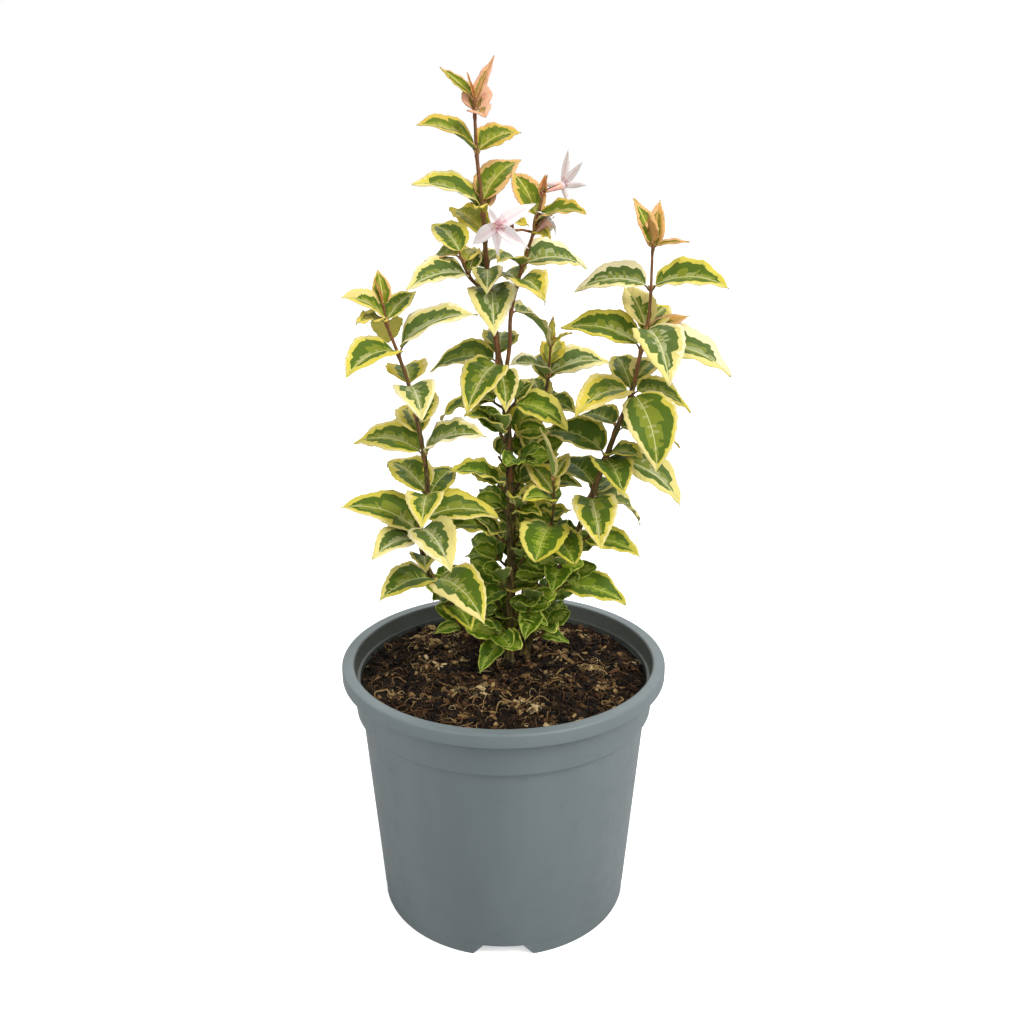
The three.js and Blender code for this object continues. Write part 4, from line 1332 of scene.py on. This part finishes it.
def add_fibre(bm, draw, long, radius, sides, curl, shares):
    """A fibre that lies on the compost and humps up off it."""
    heading = tau * draw()
    spot = spot_on_compost(draw, edge=3)
    hump = 0.5 + 1.3 * draw()
    wall = COLLAR_INSIDE_RADIUS - 1
    centres = []
    x, y = spot.x, spot.y
    for i in range(FIBRE_STEPS + 1):
        ground = compost_height(x, y) if hypot(x, y) < wall else spot.z
        centres.append(Vector((x, y, ground + 0.25 + hump * sin(pi * i / FIBRE_STEPS))))
        heading += curl * (0.4 + 0.8 * draw())
        step = long / FIBRE_STEPS
        if hypot(x + step * cos(heading), y + step * sin(heading)) > wall:
            heading += pi / 2
            step *= 0.4
        x += step * cos(heading)
        y += step * sin(heading)
    radii = [radius * (1 - 0.5 * i / FIBRE_STEPS) for i in range(FIBRE_STEPS + 1)]
    plain_tube(bm, centres, radii, sides, pick(draw, shares, spot))


def fibre_piece():
    """Thin curly rootlets, and thicker shreds of bark, that lie in and on the compost."""
    draw = draws(FIBRE_SEED)
    bm = new_model()
    for _ in range(ROOTLETS):
        long = 3 + 11 * draw() ** 2
        radius = 0.08 + 0.16 * draw() ** 1.5
        add_fibre(bm, draw, long, radius, 3, 3.2 * (draw() - 0.5), ROOTLET_SHARES)
    for _ in range(SHREDS):
        add_fibre(bm, draw, 4 + 8 * draw(), 0.28 + 0.34 * draw(), 4, 1.6 * (draw() - 0.5), SHRED_SHARES)
    finish_piece("compost_fibres", bm, soil_materials, ["compost"])


# The plant's pieces

def node_heights(stem):
    """The heights at which leaves or side shoots leave a stem."""
    pairs = SHOOT_RUNS[stem]["pairs"] if stem in SHOOT_RUNS else []
    return [row[0] for row in LEAVES.get(stem, []) + pairs]


# The heights at which the limbs go into their foliage masses, and the stems in each mass
LIMB_TOPS = {"main": 254, "left": 157, "right": 183, "middle": 150}
MASSES = {
    "flowering_foliage": ["flowering"], "leader_foliage": ["leader", "upperLeft"],
    "left_foliage": ["left"], "right_foliage": ["right"], "low_foliage": ["low"],
    "middle_foliage": ["middle"],
}


def limb_piece(stem, top):
    bm = new_model()
    heights = [height for height in node_heights(stem) if height < top]
    add_stem(bm, stem, STEM_PLACES[stem][0][2], top, LIMB_SIDES, LIMB_PITCH, heights)
    finish_piece(f"{stem}_limb", bm, bark_materials, [f"{stem}_stem"])


def mass_pieces(mass, stems):
    """A mass's stems with their buds and twigs as one piece, and its leaves as another."""
    wood = new_model()
    leaves = []
    for stem in stems:
        low = LIMB_TOPS.get(stem, STEM_PLACES[stem][0][2]) - 0.4
        add_stem(wood, stem, low, STEM_PLACES[stem][-1][2], SHOOT_SIDES, SHOOT_PITCH, node_heights(stem))
        grown = leaves_on(stem)
        leaves += grown
        for leaf in grown:
            add_bud(wood, leaf.node, leaf.heading, 2 + leaf.seed % 5 * 0.3)
    if mass == "middle_foliage":
        for shoot in shoots_of("middle", lambda height: 0):
            add_twig(wood, shoot.start, shoot.end, shoot.seed)
            leaves += shoot.leaves
    finish_piece(f"{mass}_wood", wood, bark_materials, [mass])
    foliage_piece(f"{mass}_leaves", leaves, [mass])


def shoot_pieces(stem):
    """The side shoots low on a limb: their twigs as one piece and their leaves as another."""
    nodes = [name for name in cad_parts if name.startswith(f"{stem}_shoot_")]
    wood = new_model()
    leaves = []
    for shoot in shoots_of(stem, lambda height: radius_at_height(stem, height) + CLEAR + TWIG_RADIUS):
        start = shoot.start - (shoot.end - shoot.start).normalized() * (CLEAR + TWIG_RADIUS)
        add_twig(wood, start, shoot.end, shoot.seed)
        leaves += shoot.leaves
    finish_piece(f"{stem}_shoots_wood", wood, bark_materials, nodes)
    foliage_piece(f"{stem}_shoots_leaves", leaves, nodes)


# Stage: a floor and studio that look white but give less light than they seem to, so that nothing is washed
# out. Places and sizes are in metres.

STUDIO_LIGHT = 0.9
FLOOR_GLOW = 0.5
FLOOR_SEEN = "f6f6f6"
FLOOR_UNSEEN = "c0c0c0"
FLOOR_HALF = 30
FLOOR_DROP = 0.0002
CAMERA_PLACE = (0.0039, -0.439, 0.3294)
CAMERA_DIP = 17.5
CAMERA_LENS = 36.07
# Each light's place, what it is aimed at, its size and its power
LIGHTS = {
    "key": ((1.1, -0.9, 1.5), (0, 0, 0.2), 0.8, 24),
    "fill": ((-0.9, -1.1, 1.2), (0, 0, 0.25), 1.0, 4),
    "back": ((0.2, 1.3, 1.4), (0, 0, 0.25), 1.0, 6),
}


def set_camera():
    camera = in_scene("camera", bpy.data.cameras.new("camera"))
    camera.data.lens = CAMERA_LENS
    camera.data.sensor_width = 36
    camera.location = CAMERA_PLACE
    camera.rotation_euler = (radians(90 - CAMERA_DIP), 0, 0)
    bpy.context.scene.camera = camera


def set_studio():
    """The world round the stage, which the camera sees brighter than the light that it gives."""
    world = bpy.data.worlds.new("studio")
    world.use_nodes = True
    glow = world.node_tree.nodes["Background"]
    glow.inputs["Color"].default_value = (1, 1, 1, 1)
    rays = world.node_tree.nodes.new("ShaderNodeLightPath")
    bright = world.node_tree.nodes.new("ShaderNodeMapRange")
    bright.inputs["To Min"].default_value = STUDIO_LIGHT
    world.node_tree.links.new(rays.outputs["Is Camera Ray"], bright.inputs["Value"])
    world.node_tree.links.new(bright.outputs["Result"], glow.inputs["Strength"])
    bpy.context.scene.world = world


def set_floor():
    bm = bmesh.new()
    bmesh.ops.create_grid(bm, x_segments=1, y_segments=1, size=FLOOR_HALF)
    floor = mesh_in_scene("floor", bm)
    floor.location.z = -FLOOR_DROP
    pale = Finish("pale_floor", FLOOR_SEEN, 0.9, specular=0.1)
    seen = pale.wire("ShaderNodeLightPath")
    pale.join("Base Color", pale.blend(seen, shade(FLOOR_UNSEEN), shade(FLOOR_SEEN)))
    pale.join("Emission Strength", pale.math("MULTIPLY", seen, FLOOR_GLOW))
    pale.shader.inputs["Emission Color"].default_value = (1, 1, 1, 1)
    floor.data.materials.append(pale.material)


def set_lights():
    for name, (place, aim, size, power) in LIGHTS.items():
        lamp = bpy.data.lights.new(name, "AREA")
        lamp.size = size
        lamp.energy = power
        light = in_scene(name, lamp)
        light.location = place
        light.rotation_euler = (Vector(aim) - Vector(place)).to_track_quat("-Z", "Y").to_euler()


bpy.context.scene.view_settings.view_transform = "Standard"
set_camera()
set_studio()
set_floor()
set_lights()

leaf_materials = [leaf_finish(name, *look) for name, look in LEAF_FINISHES.items()]
bark_materials = [bark_finish(name, *look) for name, look in BARK_FINISHES.items()]
blossom_materials = [petal_finish(name, colour) for name, colour in BLOSSOM_COLOURS.items()]
soil_materials = [crumb_finish(name, colour) for name, colour in SOIL_COLOURS.items()]

pot_piece()
ground_piece()
crumb_piece()
fibre_piece()
for stem_name, limb_top in LIMB_TOPS.items():
    limb_piece(stem_name, limb_top)
for mass_name, stem_names in MASSES.items():
    mass_pieces(mass_name, stem_names)
for stem_name in ("main", "right", "left"):
    shoot_pieces(stem_name)
blossom_piece()
